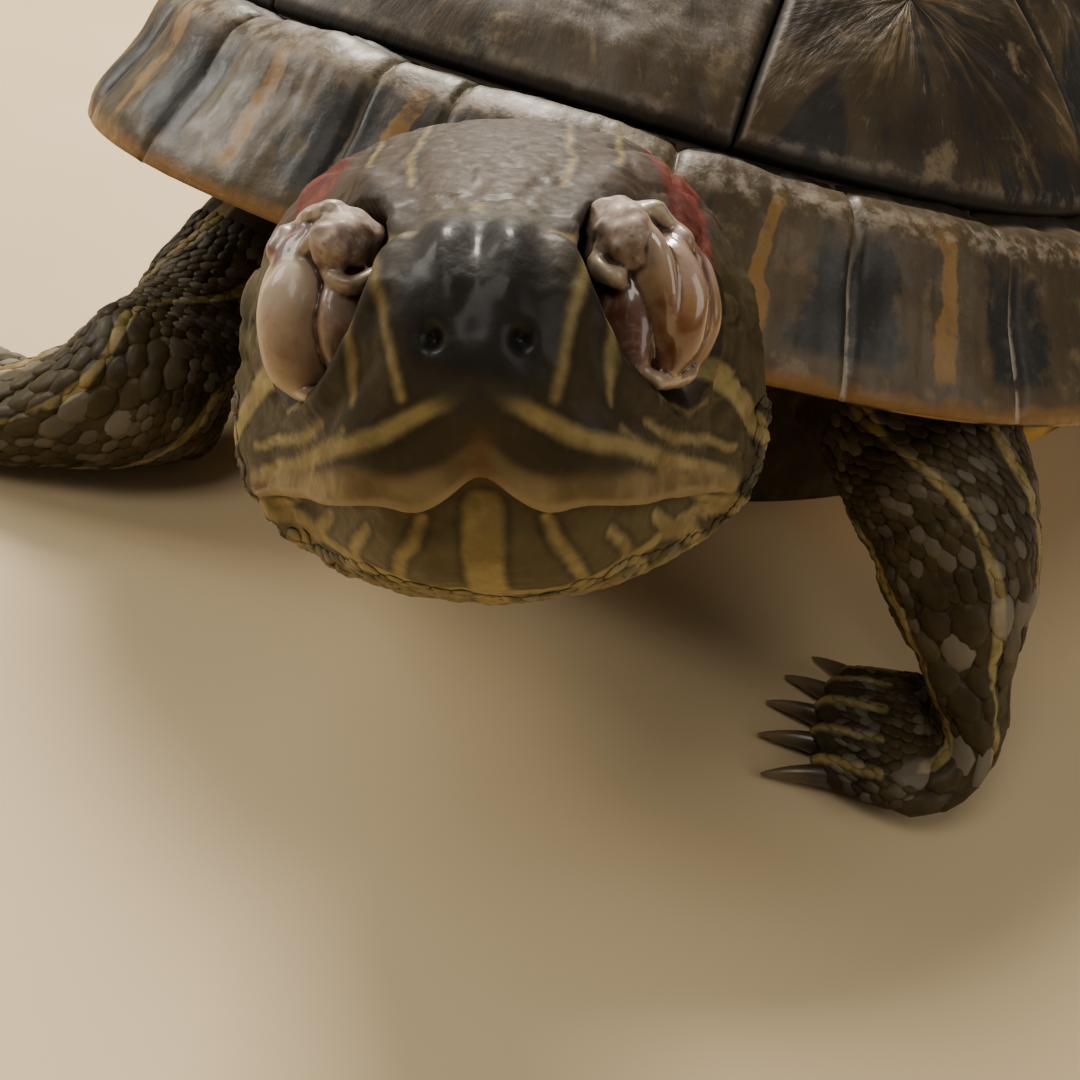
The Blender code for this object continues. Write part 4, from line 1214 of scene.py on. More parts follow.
def buildHeadAndNeck():
    own, angles = headRows()
    marks = markHead(own)
    body = headToBody(own)
    # neck rows lead up to the head's first row
    t = np.linspace(0, len(neckPath) - 1, 34)
    frames = tubeFrames(neckPath, t, None, 0.05)
    neck = tubePoints(frames, np.broadcast_to(angles[0], (len(t), angles.shape[1])), -head["inset"])
    first = body[0]
    gap = np.linalg.norm(first.mean(0) - neck[-1].mean(0))
    bridge = []
    for s in np.linspace(0, 1, 16)[1:-1]:
        h = (2 * s**3 - 3 * s**2 + 1, s**3 - 2 * s**2 + s, 3 * s**2 - 2 * s**3, s**3 - s**2)
        bridge.append(h[0] * neck[-1] + h[1] * gap * frames[3][-1] + h[2] * first + h[3] * gap * axes[1])
    neck = np.concatenate([neck, np.array(bridge)])
    n = len(neck)
    neckAngles = np.broadcast_to(angles[0], (n, angles.shape[1]))
    walk = lengthAlong(neck.mean(1))[:, None] + np.zeros_like(neckAngles)
    normals = gridNormals(np.concatenate([neck, body]))
    fade = smooth(walk[-1, 0], walk[-1, 0] - 6, walk)
    folds = (0.45 * np.sin(walk * 2 * math.pi / 5.2 + 1.6 * clouds(neck, 12, 70))
             * smooth(0.2, 0.6, np.abs(clouds(neck, 15, 71)) + 0.35))
    pushNeck = -head["inset"] + fade * (skinFolds(neck, walk, 72, 0.4) + folds - head["inset"])
    push = np.concatenate([pushNeck, sculptHead(own)])
    rows = np.concatenate([neck, body])
    for name, more in plainMarks(neckAngles.shape).items():
        marks[name] = np.concatenate([more, marks[name]])
    allAngles = np.degrees(np.concatenate([neckAngles, angles]))
    radius = np.linalg.norm(rows - rows.mean(1, keepdims=True), axis=-1)
    fadeIn = np.concatenate([np.ones(n), smooth(-1, -7, own[:, :, 1].mean(1))])[:, None]
    wobble = 0.35 * clouds(rows, 4.5, 75)
    for angle, wide in neckStripes:
        for a in {angle, 180 - angle}:
            off = (allAngles - a + 180) % 360 - 180
            d = np.abs(np.radians(off)) * radius + wobble - wide * 1.15 * fadeIn + 6 * (1 - fadeIn)
            marks["stripe"] = np.minimum(marks["stripe"], d)
    marks["throat"][:n] = smooth(-30, -75, np.where(allAngles[:n] > 90, 180 - allAngles[:n], allAngles[:n]))
    return Loft(rows + normals * push[..., None], marks, "head"), n, own


def buildLimb(name):
    spec = limbs[name]
    last = len(spec["path"]) - 1
    t = np.concatenate([np.linspace(0, 4, 64), np.linspace(4, last, 54)[1:]])
    angles = aroundHub(72)
    frames = tubeFrames(spec["path"], t)
    mid, wide, sides = frames[0], frames[1], frames[4]
    rows = tubePoints(frames, angles[None] + np.zeros((len(t), 1)), -0.35)
    walk = lengthAlong(mid)[:, None] + 0 * angles
    # toes stand out of the web
    across = np.cos(angles)[None] + 0 * walk
    toeAt = np.linspace(-1, 1, toes["count"]) * toes["spread"]
    toe = np.max([hump(across - v, toes["wide"]) for v in toeAt], axis=0)
    footward = smooth(last - 1.6, last, t)[:, None]
    upper = smooth(-0.2, 0.4, np.sin(angles))[None]
    ahead = unit((mid[-1] - mid[-14]) * [1, 1, 0])
    rows = rows + ahead * (footward**2 * (1.9 * toe - 0.9 - toes["back"] * across**2 * 0.8))[..., None]
    normals = gridNormals(rows)
    push = skinFolds(rows, walk, spec["seed"]) * (1 - 0.6 * footward)
    push += footward * upper * (0.9 * toe - 0.45)
    rows = rows + normals * push[..., None]
    ends = []
    for a in np.linspace(0, math.pi / 2, 7)[1:-1]:
        centre = rows[-1].mean(0)
        lateral = (rows[-1] - centre) @ sides[-1]
        core = centre + lateral[:, None] * sides[-1] * 0.985
        core[:, :2] += ahead[:2] * ((rows[-1] - core) @ ahead)[:, None]
        ends.append(core + (rows[-1] - core) * math.cos(a) + ahead * 1.3 * math.sin(a))
    rows = np.concatenate([rows, np.array(ends)])
    rows[..., 2] = np.maximum(rows[..., 2], soleLow)
    shape = rows.shape[:2]
    marks = plainMarks(shape)
    full = np.broadcast_to(angles[None], shape)
    radius = np.linalg.norm(rows - rows.mean(1, keepdims=True), axis=-1)
    wobble = 0.5 * clouds(rows, 5, spec["seed"] + 9)
    reachAlong = np.concatenate([walk, np.broadcast_to(walk[-1:], (len(ends), len(angles)))])
    for a in spec["stripes"]:
        off = (full - a - 0.1 * np.sin(reachAlong / 14) + math.pi) % (2 * math.pi) - math.pi
        marks["stripe"] = np.minimum(marks["stripe"], np.abs(off) * radius + wobble - 0.75)
    flat = np.concatenate([footward, np.ones((len(ends), 1))]) + 0 * full
    toeLines = np.abs((np.cos(full) / toes["spread"] * 2 + 0.5) % 1 - 0.5) * 3.2
    toeLines = toeLines - 0.4 + farOff * (1 - smooth(0.2, 0.6, flat))
    marks["stripe"] = np.minimum(marks["stripe"] + 3 * flat, toeLines)
    return Loft(rows, marks, name), (mid[-1], ahead, wide[-1])


def buildTail():
    t = np.linspace(0, len(tailPath) - 1, 90)
    angles = aroundHub(48)
    frames = tubeFrames(tailPath, t, None)
    rows = tubePoints(frames, angles[None] + np.zeros((len(t), 1)), -0.25)
    walk = lengthAlong(frames[0])[:, None] + 0 * angles
    thick = frames[2][:, None]
    rows = rows + gridNormals(rows) * (skinFolds(rows, walk, 30) * (thick / tailPath[0][4]))[..., None]
    rows[..., 2] = np.maximum(rows[..., 2], grounded)
    marks = plainMarks(rows.shape[:2])
    for a in tailStripes:
        off = (angles[None] - a + math.pi) % (2 * math.pi) - math.pi
        away = np.abs(off) * thick + 0.3 * clouds(rows, 4, 33) - 0.42
        marks["stripe"] = np.minimum(marks["stripe"], away)
    return Loft(rows, marks, "tail")


# the trunk's roof and floor rows are shares of the way out to the rim
trunk = {"roof": (0.1, 0.3, 0.5, 0.66, 0.76, 0.79), "floor": (0.68, 0.56, 0.4, 0.2), "foot": 0.76,
         "under": 1.0, "over": 0.4, "lowest": 14.4, "bulge": 0.008, "lean": 0.03, "stripes": 9}


def buildTrunk():
    # flesh between the dome and the belly plate, seen only in the openings
    angles = aroundHub(160)
    rimX, rimY = rimPlan(angles)
    rows = []
    for share in trunk["roof"]:
        x, y = rimX * share, rimY * share
        rows.append(np.stack([x, y, underHeight(x, y) - trunk["under"]], -1))
    topZ = rows[-1][:, 2]
    footZ = bellyHeight(rimX * trunk["foot"], rimY * trunk["foot"]) + belly["wall"] + trunk["over"]
    lowZ = np.maximum(footZ, trunk["lowest"])
    for k in np.linspace(0, 1, 14)[1:]:
        share = trunk["roof"][-1] + trunk["bulge"] * math.sin(math.pi * k) - trunk["lean"] * k
        rows.append(np.stack([rimX * share, rimY * share, topZ + (lowZ - topZ) * k], -1))
    for share in trunk["floor"]:
        x, y = rimX * share, rimY * share
        rows.append(np.stack([x, y, bellyHeight(x, y) + belly["wall"] + trunk["over"]], -1))
    rows = np.array(rows)[:, ::-1]
    push = skinFolds(rows, rows[..., 2], 41, 0.5)
    push[:7] = push[-6:] = 0   # only the wall between them is folded
    rows = rows + gridNormals(rows) * (push - 0.3 * (push != 0))[..., None]
    marks = plainMarks(rows.shape[:2])
    a = angles[::-1][None] + 0 * rows[..., 0]
    bands = a * trunk["stripes"] / math.pi + 0.4 * clouds(rows, 12, 44)
    marks["stripe"] = np.abs(bands % 1 - 0.5) * 16 - 0.8
    return Loft(rows, marks, "trunk")


def joinSkin(lofts, material):
    # one closed skin: the pieces are united, and the union carries their marks over
    whole = None
    for loft in lofts:
        points, faces, marks = loft.parts()
        piece = newPiece(loft.name, points + shellMid, faces, material, marks)
        if whole is None:
            whole = piece
            continue
        unite = whole.modifiers.new("unite", "BOOLEAN")
        unite.operation, unite.solver, unite.object = "UNION", "MANIFOLD", piece
        graph = bpy.context.evaluated_depsgraph_get()
        mesh = bpy.data.meshes.new_from_object(whole.evaluated_get(graph), depsgraph=graph)
        whole.modifiers.clear()
        whole.data = mesh
        bpy.data.objects.remove(piece)
    whole.name = "skin"
    whole.data.shade_smooth()
    print("skin", len(whole.data.vertices))
    return whole


# claws, in a row across each foot

claws = {"thick": 1.3, "narrow": 0.82, "bend": 1.2, "blunt": 0.12, "high": 2.0, "rooted": 1.4}


def clawRows(base, aim, length):
    # a pointed horn that bends down and is narrower than high
    t = np.linspace(0, 1, 16)
    mid = base + aim * (length * t)[:, None]
    mid[:, 2] -= claws["bend"] * t**2
    angles = aroundHub(14)
    side = unit(np.cross(aim, [0, 0, 1.0]))
    radius = claws["thick"] * (1 - t**1.5) ** 0.8 + claws["blunt"]
    across = np.cos(angles) * claws["narrow"]
    rows = (mid[:, None] + side * across[None, :, None] * radius[:, None, None]
            + np.array([0, 0, 1.0]) * np.sin(angles)[None, :, None] * radius[:, None, None])
    rows[..., 2] = np.maximum(rows[..., 2], grounded)
    return rows, np.broadcast_to(t[:, None], rows.shape[:2])


def buildClaws(name, material):
    spec = limbs[name]
    foot, ahead, wide = limbEnds[name]
    side = np.cross(ahead, [0, 0, 1.0])
    parts = []
    for u in np.linspace(-1, 1, toes["count"]):
        aim = unit(ahead + side * toes["fan"] * u)
        base = foot + side * wide * toes["spread"] * u + ahead * (0.2 - toes["back"] * u * u * 0.8)
        base[2] = claws["high"]
        rows, t = clawRows(base, aim, spec["claw"] - claws["rooted"])
        parts.append(Loft(rows, {"along": t}, "claw").parts())
    points, faces, marks = joinParts(parts)
    piece = newPiece("claws_" + spec["foot"], points + shellMid, faces, material, marks)
    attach(piece, "root")


# scales: low pointed shields over the skin, larger on the front of each forearm

def sampleGrid(grid, r, c):
    # values between the points of a grid whose columns wrap
    rows, cols = grid.shape[:2]
    r = np.clip(r, 0, rows - 1.001)
    r0, c0 = r.astype(int), np.floor(c).astype(int)
    a, b = r - r0, c - c0
    if grid.ndim == 3:
        a, b = a[..., None], b[..., None]
    c1 = (c0 + 1) % cols
    c0 = c0 % cols
    return ((grid[r0, c0] * (1 - b) + grid[r0, c1] * b) * (1 - a)
            + (grid[r0 + 1, c0] * (1 - b) + grid[r0 + 1, c1] * b) * a)


scaleLook = {"sides": 8, "lap": 0.84, "stray": 0.10, "turn": 0.14, "patch": 0.0024, "tilt": 0.22}


def scaleRoots(rows, first, last, size, keep, draw):
    # places in the grid, in staggered rings, and the size of the scale at each
    steps = np.linalg.norm(np.diff(rows, axis=0), axis=-1).mean(1)
    walk = running(steps)
    cols = rows.shape[1]
    roots, sizes = [], []
    at, odd = walk[first], 0
    while at < walk[last]:
        r = np.interp(at, walk, np.arange(len(walk)))
        around = running(np.linalg.norm(np.roll(rows[int(r)], -1, 0) - rows[int(r)], axis=-1))
        each = size(r / (len(walk) - 1))
        count = max(int(around[-1] / each), 5)
        spots = (np.arange(count) + 0.5 * odd + draw.uniform(-0.12, 0.12, count)) / count % 1 * around[-1]
        c = np.interp(spots, around, np.arange(cols + 1))
        stray = draw.uniform(-scaleLook["stray"], scaleLook["stray"], count) * each / steps.mean()
        roots.append(np.stack([r + stray, c], -1))
        sizes.append(each * draw.uniform(0.92, 1.10, count))
        at += each * scaleLook["lap"]
        odd = 1 - odd
    roots, sizes = np.concatenate(roots), np.concatenate(sizes)
    if keep is None:
        return roots, sizes
    kept = sampleGrid(keep, roots[:, 0], roots[:, 1]) > draw.uniform(0, 1, len(roots)) * 0.4 + 0.3
    return roots[kept], sizes[kept]


def scaleForm():
    # one scale of size 1 as (along, across, up) points, with its faces
    n = scaleLook["sides"]
    a = aroundHub(n)
    outline = np.stack([0.60 * np.cos(a) + 0.10 * np.cos(a) ** 3, 0.56 * np.sin(a)], -1)
    form = np.concatenate([np.column_stack([outline, np.full(n, -0.35)]),
                           np.column_stack([outline * 0.97, np.full(n, 0.35)]),
                           np.column_stack([outline * 0.62 + [0.05, 0], np.full(n, 0.9)]),
                           [[0.05, 0, 1.08], [0, 0, -0.6]]])
    i, j = np.arange(n), (np.arange(n) + 1) % n
    quads = [np.stack([i + low, j + low, j + low + n, i + low + n], -1) for low in (0, n)]
    caps = np.concatenate([fanFaces(i + 2 * n, 3 * n), fanFaces(i, 3 * n + 1, True)])
    return form, np.concatenate(quads), caps


def scaleField(name, loft, first, last, size, material, keep, high, seed):
    # scales between two rows of the loft's grid; size follows the share of the way along it
    rows = loft.rows
    cols = rows.shape[1]
    draw = np.random.default_rng(seed)
    roots, sizes = scaleRoots(rows, first, last, size, keep, draw)
    form, quads, tris = scaleForm()
    alongSteps = np.linalg.norm(np.diff(rows, axis=0), axis=-1).mean(1)
    girth = np.linalg.norm(np.roll(rows, -1, 1) - rows, axis=-1)
    alongStep = np.interp(roots[:, 0], np.arange(len(alongSteps)) + 0.5, alongSteps)
    r0 = np.clip(roots[:, 0].astype(int), 0, len(rows) - 1)
    aroundStep = girth[r0, roots[:, 1].astype(int) % cols]
    turn = draw.uniform(-scaleLook["turn"], scaleLook["turn"], len(roots))
    fx = form[None, :, 0] * np.cos(turn)[:, None] - form[None, :, 1] * np.sin(turn)[:, None]
    fy = form[None, :, 0] * np.sin(turn)[:, None] + form[None, :, 1] * np.cos(turn)[:, None]
    r = roots[:, :1] + fx * (sizes / np.maximum(alongStep, 0.05))[:, None]
    c = roots[:, 1:] + fy * (sizes / np.maximum(aroundStep, 0.05))[:, None]
    rise = form[None, :, 2] * (sizes * high)[:, None] * draw.uniform(0.8, 1.2, (len(roots), 1))
    rise = rise + scaleLook["tilt"] * fx * (sizes * high)[:, None] * (form[None, :, 2] > 0)
    points = sampleGrid(rows, r, c) + sampleGrid(gridNormals(rows), r, c) * rise[..., None]
    points[..., 2] = np.maximum(points[..., 2], grounded)
    start = np.arange(len(roots))[:, None, None] * len(form)
    faces = [(quads[None] + start).reshape(-1, 4), (tris[None] + start).reshape(-1, 3)]
    marks = {k: sampleGrid(v, r, c).ravel() for k, v in loft.marks.items()}
    marks["tone"] = np.repeat(draw.uniform(0, 1, len(roots)), len(form))
    marks["rise"] = np.broadcast_to(form[None, :, 2], r.shape).ravel().copy()
    piece = newPiece(name, points.reshape(-1, 3) + shellMid, faces, material, marks)
    # each scale's patch lies at its root on the unrolled skin
    spot = np.stack([roots[:, 0] / len(rows), (roots[:, 1] % cols) / cols], -1) * 0.96 + 0.02
    patch = (spot[:, None] + form[None, :, :2] * scaleLook["patch"]).reshape(-1, 2)
    corners = np.empty(len(piece.data.loops), np.int32)
    piece.data.loops.foreach_get("vertex_index", corners)
    unrolled = piece.data.uv_layers.new(name="OFBake")
    unrolled.data.foreach_set("uv", patch[corners].astype(np.float32).ravel())
    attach(piece, "root")
    print(name, len(roots), "scales")


# swollen eyes, shut to a wet slit: soft balls and folds pressed together, placed in the head's own axes

# a ball has its centre, half sizes, turn about the upright, lean and marks; a fold has its line,
# thickness and marks
lids = {
    1: {  # left eye
        "balls": [((7.3, 15.6, 3.1), (3.1, 4.9, 4.8), 33, 0, (0.0, 0.1, 1.0, 0.45, 0.0)),
                  ((6.0, 17.9, 6.3), (1.70, 3.1, 2.05), 14, -8, (0.15, 0.0, 0.05, 0.08, 1.0)),
                  ((8.25, 18.4, 3.1), (1.55, 2.9, 3.75), 34, 5, (0.1, 1.0, 0.0, 1.0, 0.0)),
                  ((9.2, 15.0, 2.9), (1.4, 3.4, 3.8), 34, 4, (0.1, 1.0, 0.1, 0.8, 0.0)),
                  ((7.35, 19.3, 4.0), (0.95, 2.3, 3.3), 32, 10, (0.30, 0.75, 0.0, 1.0, 0.0)),
                  ((6.15, 18.3, 1.9), (1.35, 2.5, 3.5), 24, 0, (0.0, 0.2, 0.85, 0.7, 0.1)),
                  ((8.6, 17.8, 6.0), (1.0, 1.8, 1.3), 34, 0, (0.1, 0.9, 0.35, 0.6, 0.2))],
        "folds": [([(4.6, 19.2, 5.4), (5.2, 20.0, 4.6), (6.2, 20.4, 4.3)], 0.46, (0.9, 0.0, 0.0, 0.4, 0.4)),
                  ([(6.8, 18.6, 7.7), (7.7, 18.4, 7.6), (8.5, 17.8, 6.8), (9.1, 16.8, 6.0)], 0.55,
                   (0.95, 0.1, 0.0, 0.4, 0.8)),
                  ([(6.8, 19.8, 0.1), (8.1, 19.2, -0.7), (9.6, 17.0, -0.6), (10.2, 15.2, -0.2)], 0.45,
                   (0.5, 0.3, 0.0, 0.6, 0.1))]},
    -1: {  # right eye, whose lower bulge is paler and larger
        "balls": [((-7.3, 15.6, 3.1), (3.1, 4.9, 4.8), -33, 0, (0.1, 0.1, 0.9, 0.45, 0.1)),
                  ((-6.3, 17.9, 6.0), (1.80, 3.1, 1.95), -14, 8, (0.2, 0.0, 0.05, 0.06, 1.0)),
                  ((-8.5, 18.2, 2.0), (2.05, 2.9, 3.8), -34, -6, (0.60, 0.62, 0.0, 0.3, 0.1)),
                  ((-9.2, 14.9, 2.6), (1.5, 3.4, 3.8), -34, -4, (0.5, 0.6, 0.0, 0.3, 0.1)),
                  ((-6.1, 18.6, 2.0), (1.3, 2.6, 3.4), -24, 0, (0.25, 0.3, 0.35, 0.5, 0.2)),
                  ((-8.9, 16.6, 5.7), (1.5, 2.2, 1.5), -34, 0, (0.2, 0.3, 0.5, 0.4, 0.5))],
        "folds": [([(-4.8, 19.5, 4.8), (-5.7, 20.3, 4.1), (-6.7, 20.1, 4.3), (-7.4, 19.2, 5.1)], 0.42,
                   (0.6, 0.0, 0.0, 0.4, 0.5)),
                  ([(-7.4, 19.1, 6.8), (-8.2, 19.0, 5.8), (-9.5, 17.9, 4.7), (-10.9, 15.6, 3.4)], 0.48,
                   (0.9, 0.1, 0.0, 0.5, 0.2)),
                  ([(-6.4, 18.8, 7.9), (-8.0, 17.8, 7.5), (-9.4, 15.8, 6.8)], 0.50,
                   (0.6, 0.0, 0.0, 0.3, 0.8)),
                  ([(-6.6, 20.3, -0.5), (-8.1, 19.7, -1.3), (-9.9, 17.3, -1.1)], 0.40,
                   (0.5, 0.2, 0.0, 0.5, 0.1))]},
}
lidFit = {"hub": (7.0, 16.5, 3.7), "shrink": (0.92, 1.0, 0.92), "each": 0.13, "soften": 11,
          "calm": 14,    # rounds of softening that the creases are measured against
          "grown": 10}   # the remesher works on a model this many times larger
lidMarks = ("cream", "amber", "red", "gloss", "scaly")


def lidBall(centre, size, turn, lean, tones, seed):
    high = np.linspace(-math.pi / 2, math.pi / 2, 66)[1:-1, None]
    around = aroundHub(110)[None]
    ball = np.stack([np.cos(high) * np.cos(around), np.cos(high) * np.sin(around),
                     np.sin(high) + 0 * around], -1)
    turn, lean = math.radians(turn), math.radians(lean)
    p = ball * np.array(size)
    p = np.stack([p[..., 0] * math.cos(lean) - p[..., 2] * math.sin(lean), p[..., 1],
                  p[..., 0] * math.sin(lean) + p[..., 2] * math.cos(lean)], -1)
    # the ball's broad side turns outwards with the splay of the eye
    p = np.stack([p[..., 0] * math.cos(turn) + p[..., 1] * math.sin(turn),
                  -p[..., 0] * math.sin(turn) + p[..., 1] * math.cos(turn), p[..., 2]], -1)
    p = p + np.array(centre)
    scaly = tones[lidMarks.index("scaly")]
    grains = (0.22 * (pebbles(p * [1, 0.7, 1], 1.0, seed + 1) - 0.5)
              + 0.14 * roughClouds(p, 0.9, 2, seed + 2))
    push = (0.26 * roughClouds(p * [1, 1, 0.7], 2.4, 2, seed) * min(size) / 2.0 + scaly * grains
            + (1 - scaly) * 0.05 * roughClouds(p * [1, 1, 0.5], 1.1, 2, seed + 3))
    rows = p + gridNormals(p) * push[..., None]
    marks = {k: np.full(rows.shape[:2], v) for k, v in zip(lidMarks, tones)}
    marks["rise"] = (rows[..., 2] - centre[2]) / size[2]
    return Loft(rows, marks, "ball").parts()


def lidFold(line, thick, tones, seed):
    t = np.linspace(0, len(line) - 1, 54)
    mid = catmull(np.array(line), t)
    along = unit(np.gradient(mid, axis=0))
    side = unit(np.cross(along, [0.3, 1.0, 0.2]))
    up = np.cross(along, side)
    angles = aroundHub(24)
    taper = np.sqrt(np.clip(1 - (2 * t / (len(line) - 1) - 1) ** 4, 0.003, 1))[:, None, None]
    rows = mid[:, None] + (side[:, None] * np.cos(angles)[None, :, None]
                           + up[:, None] * np.sin(angles)[None, :, None] * 1.5) * thick * taper
    rows = rows + gridNormals(rows) * (0.22 * thick * roughClouds(rows, 0.9, 2, seed))[..., None]
    marks = {k: np.full(rows.shape[:2], v) for k, v in zip(lidMarks, tones)}
    marks["rise"] = np.zeros(rows.shape[:2])
    return Loft(rows, marks, "fold").parts()


def fuse(name, parts):
    # press the parts into one soft form and carry their marks over
    points, faces, marks = joinParts(parts)
    rough = newPiece(name, points * lidFit["grown"], faces, None)
    remesh = rough.modifiers.new("remesh", "REMESH")
    remesh.mode, remesh.voxel_size = "VOXEL", lidFit["each"] * lidFit["grown"] * mm
    calm = rough.modifiers.new("calm", "SMOOTH")
    calm.factor, calm.iterations = 0.5, lidFit["soften"]
    mesh = bpy.data.meshes.new_from_object(rough.evaluated_get(bpy.context.evaluated_depsgraph_get()))
    new = np.empty(len(mesh.vertices) * 3, np.float32)
    mesh.vertices.foreach_get("co", new)
    new = new.reshape(-1, 3).astype(float) / mm / lidFit["grown"]
    sizes = np.empty(len(mesh.polygons), np.int32)
    mesh.polygons.foreach_get("loop_total", sizes)
    corners = np.empty(len(mesh.loops), np.int32)
    mesh.loops.foreach_get("vertex_index", corners)
    starts = np.cumsum(sizes) - sizes
    quads = np.stack([corners[starts[sizes == 4] + k] for k in range(4)], -1)
    tree = KDTree(len(points))
    for k, p in enumerate(points):
        tree.insert(p, k)
    tree.balance()
    near = np.array([[hit[1] for hit in tree.find_n(p, 6)] for p in new])
    bpy.data.objects.remove(rough)
    marks = {k: v[near].mean(1) for k, v in marks.items()}
    # how deep each point lies below its softened surroundings, which the lid paint turns into painted shade
    # in the creases and a painted highlight on the crests
    ends = np.concatenate([quads, np.roll(quads, -1, 1)]).reshape(-1)
    mates = np.concatenate([np.roll(quads, -1, 1), quads]).reshape(-1)
    count = np.bincount(ends, minlength=len(new))[:, None]
    soft = new.copy()
    for _ in range(lidFit["calm"]):
        total = np.stack([np.bincount(ends, soft[mates, k], len(new)) for k in range(3)], -1)
        soft = soft * 0.4 + 0.6 * total / np.maximum(count, 1)
    across = np.cross(new[quads[:, 1]] - new[quads[:, 0]], new[quads[:, 3]] - new[quads[:, 0]])
    normal = np.zeros_like(new)
    for k in range(4):
        np.add.at(normal, quads[:, k], across)
    marks["creaseShade"] = ((soft - new) * unit(normal)).sum(1)
    return new, [quads], marks


def buildEyes(material):
    for side, name in ((1, "eye_left"), (-1, "eye_right")):
        parts = [lidBall(*ball, 80 + k) for k, ball in enumerate(lids[side]["balls"])]
        parts += [lidFold(*fold, 90 + k) for k, fold in enumerate(lids[side]["folds"])]
        points, faces, marks = fuse(name, parts)
        hub = np.array(lidFit["hub"]) * [side, 1, 1]
        points = hub + (points - hub) * lidFit["shrink"]
        piece = newPiece(name + "_lids", headToBody(points) + shellMid, faces, material, marks)
        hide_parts(name)
        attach(piece, "root")
        print(name, len(points))


# skin and claw finishes

skinTones = {"dark": (0.021, 0.0145, 0.005), "olive": (0.057, 0.041, 0.014),
             "crown": (0.055, 0.034, 0.022), "throat": (0.205, 0.160, 0.062),
             "edging": (0.014, 0.012, 0.007), "stripe": (0.17, 0.122, 0.040),
             "stripePale": (0.30, 0.230, 0.090), "lip": (0.125, 0.080, 0.027),
             "lipPale": (0.225, 0.160, 0.066), "lipEdge": (0.27, 0.205, 0.105),
             "wedge": (0.13, 0.055, 0.012), "shade": (0.013, 0.009, 0.005),
             "nose": (0.012, 0.010, 0.008), "red": (0.075, 0.011, 0.006),
             "redPale": (0.17, 0.036, 0.021), "slit": (0.006, 0.005, 0.004),
             "fleck": (0.19, 0.155, 0.10), "palest": (0.25, 0.22, 0.17),
             "scaleFootShade": (0.010, 0.010, 0.008)}


def skinPaint(name, pale=None):
    # with a pale share, the skin's colours for scales: some lighter than others, with painted shade round
    # their feet
    paint = Paint(name, Coat_Roughness=0.20, Specular_IOR_Level=0.17)
    stripe, red, lip, wedge, nose, crown, slit, throat, shade = (paint.mark(k) for k in skinMarks)
    broad, wave, fine = paint.noise(9, 3, 0.5), paint.noise(3.0, 4, 0.6), paint.noise(0.7, 4, 0.65)
    grain = paint.cells(0.75)
    mottled = paint.step(wave * 0.5 + broad * 0.5, 0.34, 0.68)
    colour = paint.mix(skinTones["dark"], skinTones["olive"], mottled)
    colour = paint.mix(colour, skinTones["crown"], crown * (0.4 + paint.step(wave, 0.25, 0.7) * 0.55))
    colour = paint.mix(colour, skinTones["throat"], throat * 0.85)
    soft = stripe + (fine - 0.5) * 0.30 + (wave - 0.5) * 0.25
    colour = paint.mix(colour, skinTones["edging"], paint.step(soft, 0.65, 0.2) * 0.5)
    yellow = paint.mix(skinTones["stripe"], skinTones["stripePale"], paint.step(wave, 0.35, 0.65))
    striped = paint.step(soft, 0.28, -0.26)
    colour = paint.mix(colour, yellow, striped * 0.90)
    lips = paint.mix(skinTones["lip"], skinTones["lipPale"], paint.step(wave, 0.35, 0.65))
    colour = paint.mix(colour, lips, paint.step(lip, 0.05, 0.6) * 0.85)
    colour = paint.mix(colour, skinTones["lipEdge"], paint.step(lip, 0.65, 1.0) * 0.55)
    colour = paint.mix(colour, skinTones["wedge"], wedge * 0.7)
    shaded = shade * (0.55 + paint.step(wave, 0.3, 0.7) * 0.3) * (1 - striped * 0.6)
    colour = paint.mix(colour, skinTones["shade"], shaded)
    colour = paint.mix(colour, skinTones["nose"], nose * 0.95)
    reds = paint.mix(skinTones["red"], skinTones["redPale"], paint.step(wave, 0.35, 0.7))
    colour = paint.mix(colour, reds, paint.step(red + (fine - 0.5) * 0.5, 0.2, -0.3) * 0.95)
    # painted shade in the mouth's line and the nostrils
    colour = paint.mix(colour, skinTones["slit"], slit * 0.9)
    colour = paint.mix(colour, skinTones["fleck"], paint.step(fine, 0.56, 0.80) * (1 - nose) * 0.09)
    rough = 0.54 + paint.step(fine, 0.3, 0.7) * 0.18 - nose * 0.06
    paint.join(0.05 + nose * 0.09 + lip * 0.05, paint.shader.inputs["Coat Weight"])
    if pale:
        tone = paint.mark("tone")
        colour = paint.mix(colour, skinTones["palest"], paint.step(tone, 0.5, 1.0) * pale)
        # painted shade round each scale's foot, where it meets the skin
        colour = paint.mix(colour, skinTones["scaleFootShade"], paint.step(paint.mark("rise"), 0.5, 0.1) * 0.6)
    return paint.finish(colour, rough, (wave, 0.35, 0.25), (1 - grain, 0.30, 0.10), (fine, 0.4, 0.08))


lidTones = {"flesh": (0.165, 0.094, 0.062), "fleshPale": (0.36, 0.255, 0.190),
            "bulge": (0.40, 0.280, 0.205), "amber": (0.29, 0.155, 0.062), "brown": (0.13, 0.038, 0.006),
            "underside": (0.28, 0.18, 0.10), "cream": (0.38, 0.30, 0.185), "red": (0.075, 0.016, 0.009),
            "scale": (0.42, 0.35, 0.28), "scaleGap": (0.085, 0.050, 0.036), "vein": (0.17, 0.055, 0.030),
            "creaseShade": (0.040, 0.011, 0.006), "crestHighlight": (0.46, 0.38, 0.28)}


